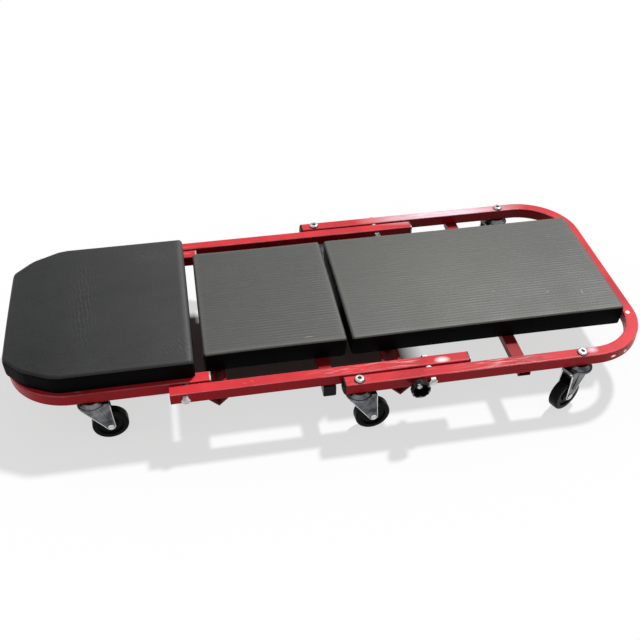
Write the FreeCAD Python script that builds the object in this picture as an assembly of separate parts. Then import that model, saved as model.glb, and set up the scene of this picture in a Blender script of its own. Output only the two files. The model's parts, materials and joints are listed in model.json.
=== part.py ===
"""Folding mechanic creeper that turns into a low seat.

Three nested sections of square steel tube are joined by two cross axes. The tail section is a U of tube on
four casters, the middle section is a pair of straight rails between its arms, and the head section is a
smaller U on two casters between those. Lengths are millimetres. X runs along the creeper towards the tail,
Y across it, Z up from the floor, and the lock knob is on the -Y side.
"""
import FreeCAD
import Part
import math
import os
from FreeCAD import Vector

# Square tube and nesting of the three sections
TUBE = 20.0                 # outside of the square tube
TUBE_WALL = 1.5
TUBE_CORNER = 2.5           # outer corner radius of the tube
FRAME_WIDTH = 430.0         # outside of the tail section
NEST_GAP = 4.0              # sideways room between one section's rails and the next
RAIL_HEIGHT = 84.0          # underside of the rails above the floor
BEND_RADIUS = 90.0          # centre line of the tube in the U bends

# Lengths along X, counted from the two hinge axes
PIVOT_SPACING = 373.0       # rear hinge to front hinge
TAIL_REACH = 370.0          # rear hinge to the outside of the tail bend
TAIL_OVERHANG = 134.0       # rear hinge to the open ends of the tail rails
MID_REAR_STUB = 67.0        # middle rails past the rear hinge
MID_FRONT_STUB = 23.0       # middle rails past the front hinge
HEAD_REACH = 267.0          # front hinge to the outside of the head bend
HEAD_STUB = 40.0            # head rails past the front hinge

# Angle-iron stop bars under the rails
STOP_LEG = 22.0
STOP_WALL = 2.5
STOP_OFFSET = 48.5          # hinge axis to the middle of the bar
STOP_END_INSET = 2.0        # bar end to the outside of the rail above it

# Cross members that carry the pad boards
TAIL_BAR_OFFSET = 152.0     # rear hinge to the middle of the tail cross bar
TAIL_BAR_WIDTH = 20.0
TAIL_BAR_DEPTH = 12.0
TAIL_BAR_END_INSET = 6.0
BAR_WALL = 1.5
MID_TUBE_OFFSET = 155.0     # rear hinge to the middle of the mid cross tube, towards the head

# Black plastic end plugs
PLUG_FLANGE = 2.0
PLUG_DOME = ((0.0, 20.0), (1.8, 16.0), (3.0, 10.0))  # height above the flange and width of each slice
PLUG_SPIGOT = 10.0
PLUG_WALL = 2.0
PLUG_FIT = 0.2              # spigot to the inside of the tube

# Boards and pads
BOARD_THICK = 8.0
HEAD_BOARD_THICK = 5.0
BOARD_INSET = 6.0           # board edge inside the outline of its pad
BOARD_CORNER = 8.0
PAD_WIDTH = 264.0           # tail and middle pads
PAD_SIDE = 30.0             # height of the pad's side above its board
PAD_CROWN = 3.0             # rise of the top between its side edges
PAD_EDGE = 4.0              # rounding of the top edge
PAD_HEM_LIFT = 0.5          # bottom of the cover above the bottom of its board
PAD_UNDERCUT = 3.0          # how far the side draws in at the bottom
PAD_SHOULDER = 1.0          # how far the side draws in below the rounded edge
PAD_WAIST = 1.0             # how far the long sides draw in halfway along
PAD_SLICES = (0.15, 0.3, 0.5, 0.7, 0.85)   # slices of a straight pad, as shares of its length
TAIL_PAD_LEAD = 108.0       # tail pad ahead of the rear hinge
TAIL_PAD_GAP = 5.0          # tail pad to the inside of the tail bend
MID_PAD_GAP = 8.0           # middle pad to the tail pad
HEAD_PAD_GAP = 14.0         # head pad to the middle pad
HEAD_PAD_REAR = 18.0        # head pad past the front hinge
HEAD_PAD_SIDE_INSET = 7.0   # head pad's side inside the outside of the head rails
HEAD_PAD_CORNER = 56.0      # width that each cut corner takes off
HEAD_PAD_CUT = 76.0         # length of the cut corners along X
HEAD_PAD_INSET = 1.5        # pad end inside the head bend
HEAD_PAD_SIDE = 33.0
HEAD_PAD_EDGE = 5.0         # rounding of the head pad's top edge
HEAD_CUT_POWER = 1.8        # how full the cut corners are: 1 is straight, 2 is a parabola
HEAD_CUT_SLICES = (0.3, 0.5, 0.75, 1.0)    # slices of the cut corners, as shares of their length
HEAD_SLICES = (0.5, 0.75)                  # slices behind them, as shares of the pad's length
HEAD_BOARD_INSET = 5.0      # board edge inside the head pad's sides
END_STEPS = (0.0, 0.15, 0.5, 1.0)  # slices of a rounded pad end, as shares of its edge rounding

# Hinge bolts, lock nuts and spacers
BOLT = 8.0
BOLT_FIT = 0.08             # radial room of a turning bolt in its hole
STEM_FIT = 0.2              # radial room of a clamped bolt in its hole
HEX_FLATS = 13.0
HEX_FACE_SHARE = 0.93       # flat end of a bolt head, as a share of its width across flats
HEX_CHAMFER_DEG = 30.0      # slant of its chamfered corners
HEAD_HEIGHT = 5.3
NUT_HEIGHT = 5.0
NUT_CROWN = 2.5
NUT_CROWN_RADIUS = 5.4
BOLT_PAST_NUT = 1.0         # bolt end inside the rim of the lock nut's crown
SIDE_PLAY = 0.3             # room beside parts that turn on each other
SPACER_DIAMETER = 17.0

# Button-head bolts that hold the tail casters
BUTTON_HEAD = 16.0
BUTTON_HEIGHT = 4.0
BUTTON_ROUND = 2.6          # rounding of its top edge
BUTTON_SOCKET = 6.0         # across the flats of the hexagon socket
BUTTON_SOCKET_DEPTH = 2.5

# Lock pin that slides through the near tail rail
LOCK_OFFSET = 23.0          # rear hinge to the pin, towards the head
LOCK_PIN = 5.0
LOCK_FIT = 0.06
LOCK_TIP_SET = 2.0          # pin tip past the inner face of the tail rail when pulled
LOCK_TRAVEL = 6.0
LOCK_BUSH = 9.0
KNOB_DIAMETER = 30.0
KNOB_DEPTH = 13.5
KNOB_FOOT = 24.0            # across the end next to the rail
KNOB_FLARE = 6.0            # length over which it widens
KNOB_RIM = 2.6
KNOB_FLOOR = 3.0
KNOB_SCALLOPS = 14
SCALLOP_RADIUS = 2.2
SCALLOP_DEPTH = 0.8
KNOB_SCREW = 3.0
KNOB_SCREW_HEAD = 7.5
KNOB_SCREW_HEAD_HEIGHT = 2.6
KNOB_SCREW_LENGTH = 9.0

# Casters
WHEEL_DIAMETER = 56.0
WHEEL_WIDTH = 17.0
WHEEL_HUB_WIDTH = 18.0
WHEEL_HUB_RADIUS = 11.0
WHEEL_WEB = 11.0            # width of the wheel between hub and tread
WHEEL_TREAD = 8.0           # radial depth of the tread
WHEEL_SHOULDER = 3.0
SHOULDER_STEPS_DEG = (0.0, 30.0, 60.0, 90.0)  # corners of the shoulder, round its quarter circle
WHEEL_FLARE = 1.0           # slant of the steps down to the web
TRAIL = 22.0                # swivel axis to axle
AXLE = 6.0
AXLE_HEAD = 9.5
AXLE_HEAD_HEIGHT = 1.2
FORK_WALL = 2.0
FORK_SIDE_ROOM = 0.5        # hub to fork leg
FORK_PLATE_RADIUS = 21.0
FORK_PLATE_WALL = 2.4
FORK_PLATE_ROUND = 1.6      # rounding of the plate's upper edge
FORK_TONGUE = 4.0           # reach of the plate past the axle, along the trail
FORK_LEG_FRONT = 16.0       # reach of a leg ahead of the swivel axis
FORK_EYE_RADIUS = 6.5
FORK_SHOULDER = 4.0         # height of a leg's front edge
FORK_RIB_RADIUS = 3.0
FORK_RIB_RAISE = 0.9
FORK_RIB_SHARE = 0.62       # rib length as a share of the leg between eye and plate
CUP_RADIUS = 19.0
CUP_HEIGHT = 6.0
CUP_WALL = 1.8
CUP_TOP_RADIUS = 13.9       # flat top of the cup, against the rail
CUP_SKIRT = 3.0             # upright rim of the cup
RACE_RADIUS = 12.0
RACE_WALL = 4.5
STEM_HEAD_HEIGHT = 4.5
TAIL_CASTER_FRONT = 112.0   # swivel axes: ahead of the rear hinge
TAIL_CASTER_REAR = 244.0    # behind the rear hinge
HEAD_CASTER = 142.0         # ahead of the front hinge
# direction that each caster trails in, from +X towards +Y
CASTER_ANGLES_DEG = {
    "tail_front_near": 5.0,
    "tail_front_far": 14.0,
    "tail_rear_near": 207.0,
    "tail_rear_far": 195.0,
    "head_near": 6.0,
    "head_far": 0.0,
}

# Pad screws
SCREW = 5.0
SCREW_HEAD = 10.0
SCREW_HEAD_HEIGHT = 3.0
SCREW_BITE = 6.0            # depth of the screw in its board
PAD_SCREW_SPACING = 160.0   # across the creeper, between the two screws of a row
HEAD_SCREW_FRONT = 77.0     # rows of head pad screws: behind the outside of the head bend
HEAD_SCREW_REAR = 95.0      # ahead of the front hinge
HEAD_SCREW_INSET = 6.5      # inside the middle of the head rail
HEAD_SCREW_BITE = 4.0

# Worked-out places
OVERALL_LENGTH = TAIL_REACH + PIVOT_SPACING + HEAD_REACH
REAR_HINGE_X = OVERALL_LENGTH / 2 - TAIL_REACH
FRONT_HINGE_X = REAR_HINGE_X - PIVOT_SPACING
RAIL_TOP = RAIL_HEIGHT + TUBE
RAIL_MID = RAIL_HEIGHT + TUBE / 2
TAIL_OUT = FRAME_WIDTH / 2
TAIL_IN = TAIL_OUT - TUBE
MID_OUT = TAIL_IN - NEST_GAP
MID_IN = MID_OUT - TUBE
HEAD_OUT = MID_IN - NEST_GAP
HEAD_IN = HEAD_OUT - TUBE
TAIL_RAIL_Y = TAIL_OUT - TUBE / 2
MID_RAIL_Y = MID_OUT - TUBE / 2
HEAD_RAIL_Y = HEAD_OUT - TUBE / 2
HEAD_PAD_WIDTH = 2 * (HEAD_OUT - HEAD_PAD_SIDE_INSET)
TAIL_PAD_X = (REAR_HINGE_X - TAIL_PAD_LEAD, REAR_HINGE_X + TAIL_REACH - TUBE - TAIL_PAD_GAP)
HEAD_PAD_X = (FRONT_HINGE_X - HEAD_REACH + HEAD_PAD_INSET, FRONT_HINGE_X + HEAD_PAD_REAR)
MID_PAD_X = (HEAD_PAD_X[1] + HEAD_PAD_GAP, TAIL_PAD_X[0] - MID_PAD_GAP)
WHEEL_RADIUS = WHEEL_DIAMETER / 2
FORK_TOP = RAIL_HEIGHT - CUP_HEIGHT - SIDE_PLAY
LEG_IN = WHEEL_HUB_WIDTH / 2 + FORK_SIDE_ROOM
LEG_OUT = LEG_IN + FORK_WALL
LOCK_X = REAR_HINGE_X - LOCK_OFFSET
TAIL_STOP_X = REAR_HINGE_X - STOP_OFFSET
MID_STOP_X = FRONT_HINGE_X + STOP_OFFSET
TAIL_BAR_X = REAR_HINGE_X + TAIL_BAR_OFFSET
MID_TUBE_X = REAR_HINGE_X - MID_TUBE_OFFSET

X_AXIS = Vector(1, 0, 0)
Y_AXIS = Vector(0, 1, 0)
Z_AXIS = Vector(0, 0, 1)


def cylinder(radius, height, base, axis=Z_AXIS):
    """A round bar from base along axis."""
    return Part.makeCylinder(radius, height, Vector(*base), axis)


def block(x0, x1, y0, y1, z0, z1):
    """A box between two corners."""
    return Part.makeBox(x1 - x0, y1 - y0, z1 - z0, Vector(x0, y0, z0))


def polygon(points):
    """A closed wire through points."""
    vectors = [Vector(*p) for p in points]
    return Part.makePolygon(vectors + vectors[:1])


def prism(points, sweep):
    """A flat polygon carried along a vector."""
    return Part.Face(polygon(points)).extrude(Vector(*sweep))


def rounded(points, radius):
    """A closed wire through convex points, with each corner turned into an arc of one radius."""
    vectors = [Vector(*p) for p in points]
    ends = []
    for i, corner in enumerate(vectors):
        back = (vectors[i - 1] - corner).normalize()
        ahead = (vectors[(i + 1) % len(vectors)] - corner).normalize()
        half = back.getAngle(ahead) / 2
        setback = radius / math.tan(half)
        middle = corner + (back + ahead).normalize() * (radius / math.sin(half) - radius)
        ends.append((corner + back * setback, middle, corner + ahead * setback))
    edges = []
    for i, (start, middle, stop) in enumerate(ends):
        edges.append(Part.Arc(start, middle, stop).toShape())
        edges.append(Part.LineSegment(stop, ends[(i + 1) % len(ends)][0]).toShape())
    return Part.Wire(edges)


def square_wire(x, y, z, size, corner):
    """The tube's outline in the plane across X, rounded where a corner radius is given."""
    half = size / 2
    corners = [(-half, -half), (half, -half), (half, half), (-half, half)]
    points = [(x, y + across, z + up) for across, up in corners]
    return rounded(points, corner) if corner else polygon(points)


def straight_tube(x0, x1, y):
    """A length of the square tube along X, open at both ends."""
    run = Vector(x1 - x0, 0, 0)
    outer = Part.Face(square_wire(x0, y, RAIL_MID, TUBE, TUBE_CORNER)).extrude(run)
    inner = Part.Face(square_wire(x0, y, RAIL_MID, TUBE - 2 * TUBE_WALL, 0)).extrude(run)
    return outer.cut(inner)


def bent_tube(x_open, x_bend, y):
    """A U of the square tube: two arms from x_open and a cross run whose middle line is at x_bend."""
    turn = math.copysign(BEND_RADIUS, x_bend - x_open)
    x_arc = x_bend - turn
    y_arc = y - BEND_RADIUS
    slant = math.sqrt(0.5)
    corner = Vector(x_arc + turn * slant, -y_arc - BEND_RADIUS * slant, RAIL_MID)
    near = [Vector(x_open, -y, RAIL_MID), Vector(x_arc, -y, RAIL_MID)]
    near += [corner, Vector(x_bend, -y_arc, RAIL_MID)]
    far = [Vector(p.x, -p.y, p.z) for p in near]
    path = Part.Wire([
        Part.LineSegment(near[0], near[1]).toShape(),
        Part.Arc(near[1], near[2], near[3]).toShape(),
        Part.LineSegment(near[3], far[3]).toShape(),
        Part.Arc(far[3], far[2], far[1]).toShape(),
        Part.LineSegment(far[1], far[0]).toShape(),
    ])
    outer = path.makePipeShell([square_wire(x_open, -y, RAIL_MID, TUBE, TUBE_CORNER)], True, False)
    inner = path.makePipeShell([square_wire(x_open, -y, RAIL_MID, TUBE - 2 * TUBE_WALL, 0)], True, False)
    return outer.cut(inner)


def stop_bar(x, y_end):
    """Angle iron lying across the rails with its ridge down and its two edges flush under them."""
    half = STOP_LEG / math.sqrt(2)
    lip = STOP_WALL * math.sqrt(2)
    z = RAIL_HEIGHT
    points = [
        (x - half, -y_end, z), (x, -y_end, z - half), (x + half, -y_end, z),
        (x + half - lip, -y_end, z), (x, -y_end, z - half + lip), (x - half + lip, -y_end, z),
    ]
    return prism(points, (0, 2 * y_end, 0))


def cross_tube(x, width, depth, y_end):
    """A rectangular tube across the rails, under them."""
    outer = block(x - width / 2, x + width / 2, -y_end, y_end, RAIL_HEIGHT - depth, RAIL_HEIGHT)
    inner = block(
        x - width / 2 + BAR_WALL, x + width / 2 - BAR_WALL, -y_end, y_end,
        RAIL_HEIGHT - depth + BAR_WALL, RAIL_HEIGHT - BAR_WALL,
    )
    return outer.cut(inner)


def end_plug(dome):
    """A plug for the square tube, standing on its flange at the origin with the spigot along +X."""
    rim = square_wire(-PLUG_FLANGE, 0, 0, TUBE, TUBE_CORNER)
    flange = Part.Face(rim).extrude(Vector(PLUG_FLANGE, 0, 0))
    size = TUBE - 2 * TUBE_WALL - 2 * PLUG_FIT
    spigot = Part.Face(square_wire(0, 0, 0, size, 0)).extrude(Vector(PLUG_SPIGOT, 0, 0))
    hollow = Part.Face(square_wire(0, 0, 0, size - 2 * PLUG_WALL, 0)).extrude(Vector(PLUG_SPIGOT, 0, 0))
    plug = flange.fuse(spigot.cut(hollow))
    if dome:
        wires = [square_wire(-PLUG_FLANGE - rise, 0, 0, width, TUBE_CORNER) for rise, width in PLUG_DOME]
        plug = plug.fuse(Part.makeLoft(wires, True, True))
    return plug.removeSplitter()


def hex_prism(flats, height, base, axis):
    """A hexagonal head or nut body from base along axis."""
    corner = flats / math.sqrt(3)
    turns = [math.radians(a) for a in range(0, 360, 60)]
    points = [(corner * math.cos(a), corner * math.sin(a), 0) for a in turns]
    shape = prism(points, (0, 0, height))
    shape.Placement = FreeCAD.Placement(Vector(*base), FreeCAD.Rotation(Z_AXIS, axis))
    return shape


def bolt_head(base, axis):
    """A hexagonal head whose end corners are cut back by a cone."""
    face = HEX_FLATS * HEX_FACE_SHARE / 2
    foot = face + HEAD_HEIGHT / math.tan(math.radians(HEX_CHAMFER_DEG))
    cone = Part.makeCone(foot, face, HEAD_HEIGHT, Vector(*base), axis)
    return hex_prism(HEX_FLATS, HEAD_HEIGHT, base, axis).common(cone)


def lock_nut(base, axis):
    """A nut with a round crown, bored for the bolt, standing on base along axis."""
    body = hex_prism(HEX_FLATS, NUT_HEIGHT, base, axis)
    crown = cylinder(NUT_CROWN_RADIUS, NUT_HEIGHT + NUT_CROWN, base, axis)
    hole = cylinder(BOLT / 2, NUT_HEIGHT + NUT_CROWN, base, axis)
    return body.fuse(crown).cut(hole)


def hinge(x, outer_face, inner_face, side):
    """Bolt, spacer and lock nut of one hinge point; side is -1 near and +1 far."""
    inward = Vector(0, -side, 0)
    grip = outer_face - inner_face
    nut_face = inner_face - SIDE_PLAY
    shank = grip + SIDE_PLAY + NUT_HEIGHT + NUT_CROWN - BOLT_PAST_NUT
    head = bolt_head((x, side * outer_face, RAIL_MID), Vector(0, side, 0))
    bolt = head.fuse(cylinder(BOLT / 2, shank, (x, side * outer_face, RAIL_MID), inward))
    nut = lock_nut((x, side * nut_face, RAIL_MID), inward)
    spacer_face = outer_face - TUBE - SIDE_PLAY
    width = NEST_GAP - 2 * SIDE_PLAY
    ring = cylinder(SPACER_DIAMETER / 2, width, (x, side * spacer_face, RAIL_MID), inward)
    spacer = ring.cut(cylinder(BOLT / 2 + BOLT_FIT, width, (x, side * spacer_face, RAIL_MID), inward))
    return bolt, spacer, nut


def hinge_hole(x):
    """The cutter for one cross axis through all rails."""
    return cylinder(BOLT / 2 + BOLT_FIT, FRAME_WIDTH, (x, -FRAME_WIDTH / 2, RAIL_MID), Y_AXIS)


def stem_hole(x, y, depth):
    """The cutter for a caster's stem or bolt, from the underside of a rail."""
    return cylinder(BOLT / 2 + STEM_FIT, depth, (x, y, RAIL_HEIGHT))


def half_circle_depth(distance, radius):
    """Depth of a quarter-round edge at a distance from its end."""
    reach = max(radius - distance, 0.0)
    return radius - math.sqrt(radius * radius - reach * reach)


def pad_section(x, half_width, z0, side, edge, sink):
    """One upright slice of a pad: flat below, bowed sides, rounded top edges and a crowned top."""
    top = z0 + side - sink
    bottom_y = half_width - PAD_UNDERCUT
    shoulder_y = half_width - PAD_SHOULDER
    edge_z = top - edge
    crown_y = shoulder_y - edge
    crown_z = top + PAD_CROWN - sink * PAD_CROWN / side
    slant = edge * math.sqrt(0.5)
    low = [Vector(x, s * bottom_y, z0) for s in (-1, 1)]
    bow = [Vector(x, s * half_width, (z0 + edge_z) / 2) for s in (-1, 1)]
    shoulder = [Vector(x, s * shoulder_y, edge_z) for s in (-1, 1)]
    bend = [Vector(x, s * (crown_y + slant), edge_z + slant) for s in (-1, 1)]
    crown = [Vector(x, s * crown_y, top) for s in (-1, 1)]
    return Part.Wire([
        Part.LineSegment(low[0], low[1]).toShape(),
        Part.Arc(low[1], bow[1], shoulder[1]).toShape(),
        Part.Arc(shoulder[1], bend[1], crown[1]).toShape(),
        Part.Arc(crown[1], Vector(x, 0, crown_z), crown[0]).toShape(),
        Part.Arc(crown[0], bend[0], shoulder[0]).toShape(),
        Part.Arc(shoulder[0], bow[0], low[0]).toShape(),
    ])


def cushion(x0, x1, half_width_at, z0, side, edge, shares):
    """A pad lofted along X: slices at shares of its length, and closer ones that round off its two ends."""
    length = x1 - x0
    steps = [edge * share for share in END_STEPS]
    stations = [x0 + s for s in steps] + [x0 + length * s for s in shares]
    stations += [x1 - s for s in reversed(steps)]
    wires = []
    for x in stations:
        sink = half_circle_depth(min(x - x0, x1 - x), edge)
        along = 2 * (x - x0) / length - 1
        half_width = half_width_at(x) - PAD_WAIST * (1 - along * along) - sink
        wires.append(pad_section(x, half_width, z0, side, edge, sink))
    return Part.makeLoft(wires, True, True)


def straight_pad(x0, x1):
    """A tail or middle pad, whose cover wraps down round its board."""
    side = PAD_SIDE + BOARD_THICK - PAD_HEM_LIFT
    base = RAIL_HEIGHT + PAD_HEM_LIFT
    pad = cushion(x0, x1, lambda x: PAD_WIDTH / 2, base, side, PAD_EDGE, PAD_SLICES)
    return pad.cut(board(x0, x1, RAIL_HEIGHT, BOARD_THICK))


def board(x0, x1, z, thick):
    """A rounded plywood board under a straight pad."""
    y = PAD_WIDTH / 2 - BOARD_INSET
    low, high = x0 + BOARD_INSET, x1 - BOARD_INSET
    outline = rounded([(low, -y, z), (high, -y, z), (high, y, z), (low, y, z)], BOARD_CORNER)
    return Part.Face(outline).extrude(Vector(0, 0, thick))


def head_half_width(x):
    """Half the head pad's width at x, narrowing in a full curve over the cut corners."""
    share = min((x - HEAD_PAD_X[0]) / HEAD_PAD_CUT, 1.0)
    return HEAD_PAD_WIDTH / 2 - HEAD_PAD_CORNER * (1 - share) ** HEAD_CUT_POWER


def head_pad():
    """The head pad, whose two front corners are cut off and whose cover wraps down round its board."""
    nose, rear = HEAD_PAD_X
    shares = [share * HEAD_PAD_CUT / (rear - nose) for share in HEAD_CUT_SLICES] + list(HEAD_SLICES)
    pad = cushion(nose, rear, head_half_width, RAIL_TOP, HEAD_PAD_SIDE, HEAD_PAD_EDGE, shares)
    return pad.cut(head_board())


def head_board():
    """The plywood board under the head pad."""
    nose, rear = HEAD_PAD_X
    front, back, corner = nose + BOARD_INSET, rear - BOARD_INSET, nose + HEAD_PAD_CUT
    y = [head_half_width(x) - HEAD_BOARD_INSET for x in (front, corner)]
    z = RAIL_TOP
    side = [(front, y[0], z), (corner, y[1], z), (back, y[1], z)]
    points = [(x, -across, up) for x, across, up in side] + side[::-1]
    return Part.Face(rounded(points, BOARD_CORNER)).extrude(Vector(0, 0, HEAD_BOARD_THICK))


def pad_screw(x, y, seat, top):
    """A pan-head screw driven up through a cross member into a board."""
    head = cylinder(SCREW_HEAD / 2, SCREW_HEAD_HEIGHT, (x, y, seat - SCREW_HEAD_HEIGHT))
    return head.fuse(cylinder(SCREW / 2, top - seat, (x, y, seat)))


def screw_hole(x, y, low, high):
    """The cutter for one pad screw."""
    return cylinder(SCREW / 2, high - low, (x, y, low))


def caster_cup(x, y):
    """The fixed dished cup under the rail that the race sits in."""
    z = RAIL_HEIGHT
    low = z - CUP_HEIGHT
    bore = BOLT / 2
    points = [
        (bore, 0, z), (CUP_TOP_RADIUS, 0, z), (CUP_RADIUS, 0, low + CUP_SKIRT), (CUP_RADIUS, 0, low),
        (CUP_RADIUS - CUP_WALL, 0, low), (CUP_RADIUS - CUP_WALL, 0, low + CUP_SKIRT),
        (CUP_TOP_RADIUS - CUP_WALL, 0, z - CUP_WALL), (bore, 0, z - CUP_WALL),
    ]
    cup = Part.Face(polygon(points)).revolve(Vector(0, 0, 0), Z_AXIS, 360)
    cup.translate(Vector(x, y, 0))
    return cup


def caster_race(x, y):
    """The ring that stands between the cup and the fork plate."""
    base = (x, y, RAIL_HEIGHT - CUP_HEIGHT)
    height = CUP_HEIGHT - CUP_WALL
    return cylinder(RACE_RADIUS, height, base).cut(cylinder(RACE_RADIUS - RACE_WALL, height, base))


def caster_stem(x, y, nut_seat):
    """The threaded king pin, its head under the fork plate and its end in the lock nut on nut_seat."""
    low = fork_underside()
    top = nut_seat + NUT_HEIGHT + NUT_CROWN - BOLT_PAST_NUT
    head = hex_prism(HEX_FLATS, STEM_HEAD_HEIGHT, (x, y, low - STEM_HEAD_HEIGHT), Z_AXIS)
    return head.fuse(cylinder(BOLT / 2, top - low, (x, y, low)))


def round_topped_disc(radius, height, rounding):
    """A disc on the origin whose upper edge is rounded."""
    face, rim, slant = radius - rounding, height - rounding, rounding * math.sqrt(0.5)
    centre, foot, edge = Vector(0, 0, 0), Vector(radius, 0, 0), Vector(radius, 0, rim)
    shoulder, top = Vector(face, 0, height), Vector(0, 0, height)
    outline = Part.Wire([
        Part.LineSegment(centre, foot).toShape(),
        Part.LineSegment(foot, edge).toShape(),
        Part.Arc(edge, Vector(face + slant, 0, rim + slant), shoulder).toShape(),
        Part.LineSegment(shoulder, top).toShape(),
        Part.LineSegment(top, centre).toShape(),
    ])
    return Part.Face(outline).revolve(centre, Z_AXIS, 360)


def caster_bolt(x, y):
    """A button-head bolt with a hexagon socket, from the top of a tail rail into the nut under its fork."""
    head = round_topped_disc(BUTTON_HEAD / 2, BUTTON_HEIGHT, BUTTON_ROUND)
    head.translate(Vector(x, y, RAIL_TOP))
    socket_floor = (x, y, RAIL_TOP + BUTTON_HEIGHT - BUTTON_SOCKET_DEPTH)
    socket = hex_prism(BUTTON_SOCKET, BUTTON_SOCKET_DEPTH, socket_floor, Z_AXIS)
    end = fork_underside() - NUT_HEIGHT - NUT_CROWN + BOLT_PAST_NUT
    shank = cylinder(BOLT / 2, RAIL_TOP - end, (x, y, end))
    return head.cut(socket).fuse(shank)


def fork_underside():
    """Where the nut or head under a fork plate sits."""
    return FORK_TOP - FORK_PLATE_WALL - SIDE_PLAY


def fork_leg():
    """One stamped leg in the trail plane: wide at the plate, round at the axle, with a raised rib."""
    z = FORK_TOP - FORK_PLATE_ROUND
    low = WHEEL_RADIUS
    eye = Vector(TRAIL, LEG_IN, low)
    heel = Vector(-FORK_LEG_FRONT, LEG_IN, z - FORK_SHOULDER)
    slope = (eye - heel).normalize()
    under = Vector(slope.z, 0, -slope.x) * FORK_EYE_RADIUS
    outline = [
        Vector(-FORK_LEG_FRONT, LEG_IN, z), Vector(TRAIL + FORK_TONGUE, LEG_IN, z),
        Vector(TRAIL + FORK_EYE_RADIUS, LEG_IN, low), eye, eye + under, heel,
    ]
    leg = prism(outline, (0, FORK_WALL, 0))
    leg = leg.fuse(cylinder(FORK_EYE_RADIUS, FORK_WALL, eye, Y_AXIS))
    top = Vector(TRAIL / 3, LEG_OUT, z - FORK_EYE_RADIUS)
    foot = Vector(TRAIL, LEG_OUT, low)
    end = top + (foot - top) * FORK_RIB_SHARE
    across = (end - top).cross(Y_AXIS).normalize() * FORK_RIB_RADIUS
    rib = prism([top + across, end + across, end - across, top - across], (0, FORK_RIB_RAISE, 0))
    for point in (top, end):
        rib = rib.fuse(cylinder(FORK_RIB_RADIUS, FORK_RIB_RAISE, point, Y_AXIS))
    return leg.fuse(rib)


def fork_tongue(low):
    """The plate's run back to the axle, bent down along both sides into the legs."""
    bend, shoulder = FORK_TOP - FORK_PLATE_ROUND, LEG_OUT - FORK_PLATE_ROUND
    slant = FORK_PLATE_ROUND * math.sqrt(0.5)
    foot = [Vector(0, s * LEG_OUT, low) for s in (-1, 1)]
    edge = [Vector(0, s * LEG_OUT, bend) for s in (-1, 1)]
    turn = [Vector(0, s * (shoulder + slant), bend + slant) for s in (-1, 1)]
    top = [Vector(0, s * shoulder, FORK_TOP) for s in (-1, 1)]
    section = Part.Wire([
        Part.LineSegment(foot[0], foot[1]).toShape(),
        Part.LineSegment(foot[1], edge[1]).toShape(),
        Part.Arc(edge[1], turn[1], top[1]).toShape(),
        Part.LineSegment(top[1], top[0]).toShape(),
        Part.Arc(top[0], turn[0], edge[0]).toShape(),
        Part.LineSegment(edge[0], foot[0]).toShape(),
    ])
    return Part.Face(section).extrude(Vector(TRAIL + FORK_TONGUE, 0, 0))


def caster_fork():
    """The swivel fork at the origin, trailing along +X."""
    low = FORK_TOP - FORK_PLATE_WALL
    plate = round_topped_disc(FORK_PLATE_RADIUS, FORK_PLATE_WALL, FORK_PLATE_ROUND)
    plate.translate(Vector(0, 0, low))
    plate = plate.fuse(fork_tongue(low))
    leg = fork_leg()
    other = leg.mirror(Vector(0, 0, 0), Y_AXIS)
    fork = plate.fuse([leg, other])
    stem = cylinder(BOLT / 2 + BOLT_FIT, FORK_PLATE_WALL, (0, 0, low))
    axle = cylinder(AXLE / 2, 2 * LEG_OUT, (TRAIL, -LEG_OUT, WHEEL_RADIUS), Y_AXIS)
    return fork.cut([stem, axle]).removeSplitter()


def caster_axle():
    """The axle with its two peened heads."""
    base = (TRAIL, -LEG_OUT, WHEEL_RADIUS)
    axle = cylinder(AXLE / 2, 2 * LEG_OUT, base, Y_AXIS)
    near = cylinder(AXLE_HEAD / 2, AXLE_HEAD_HEIGHT, base, Vector(0, -1, 0))
    far = cylinder(AXLE_HEAD / 2, AXLE_HEAD_HEIGHT, (TRAIL, LEG_OUT, WHEEL_RADIUS), Y_AXIS)
    return axle.fuse([near, far])


def caster_wheel():
    """A moulded wheel: hub, thinner web and a tread with rounded shoulders, revolved about its axle."""
    hub, web, tread = WHEEL_HUB_WIDTH / 2, WHEEL_WEB / 2, WHEEL_WIDTH / 2
    bore = AXLE / 2 + BOLT_FIT
    rim = WHEEL_RADIUS - WHEEL_TREAD
    edge, land = WHEEL_RADIUS - WHEEL_SHOULDER, tread - WHEEL_SHOULDER
    turns = [math.radians(step) for step in SHOULDER_STEPS_DEG]
    side = [
        (bore, hub), (WHEEL_HUB_RADIUS, hub), (WHEEL_HUB_RADIUS + WHEEL_FLARE, web),
        (rim - WHEEL_FLARE, web), (rim, tread),
    ]
    side += [(edge + WHEEL_SHOULDER * math.sin(t), land + WHEEL_SHOULDER * math.cos(t)) for t in turns]
    points = [(r, y, 0) for r, y in side] + [(r, -y, 0) for r, y in reversed(side)]
    wheel = Part.Face(polygon(points)).revolve(Vector(0, 0, 0), Y_AXIS, 360)
    wheel.translate(Vector(TRAIL, 0, WHEEL_RADIUS))
    return wheel


def placed(shape, x, y, turn):
    """A caster piece turned about its swivel axis and set under its stem."""
    copy = shape.copy()
    copy.rotate(Vector(0, 0, 0), Z_AXIS, turn)
    copy.translate(Vector(x, y, 0))
    return copy


def lock_pin():
    """The sliding pin, drilled at its outer end for the knob's screw."""
    tip = -TAIL_IN + LOCK_TIP_SET
    outer = knob_floor_y()
    pin = cylinder(LOCK_PIN / 2, tip - outer, (LOCK_X, outer, RAIL_MID), Y_AXIS)
    bite = KNOB_SCREW_LENGTH - KNOB_FLOOR
    return pin.cut(cylinder(KNOB_SCREW / 2, bite, (LOCK_X, outer, RAIL_MID), Y_AXIS))


def knob_floor_y():
    """Where the pin meets the inner end of the knob."""
    return -TAIL_OUT - LOCK_TRAVEL - SIDE_PLAY


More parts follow.
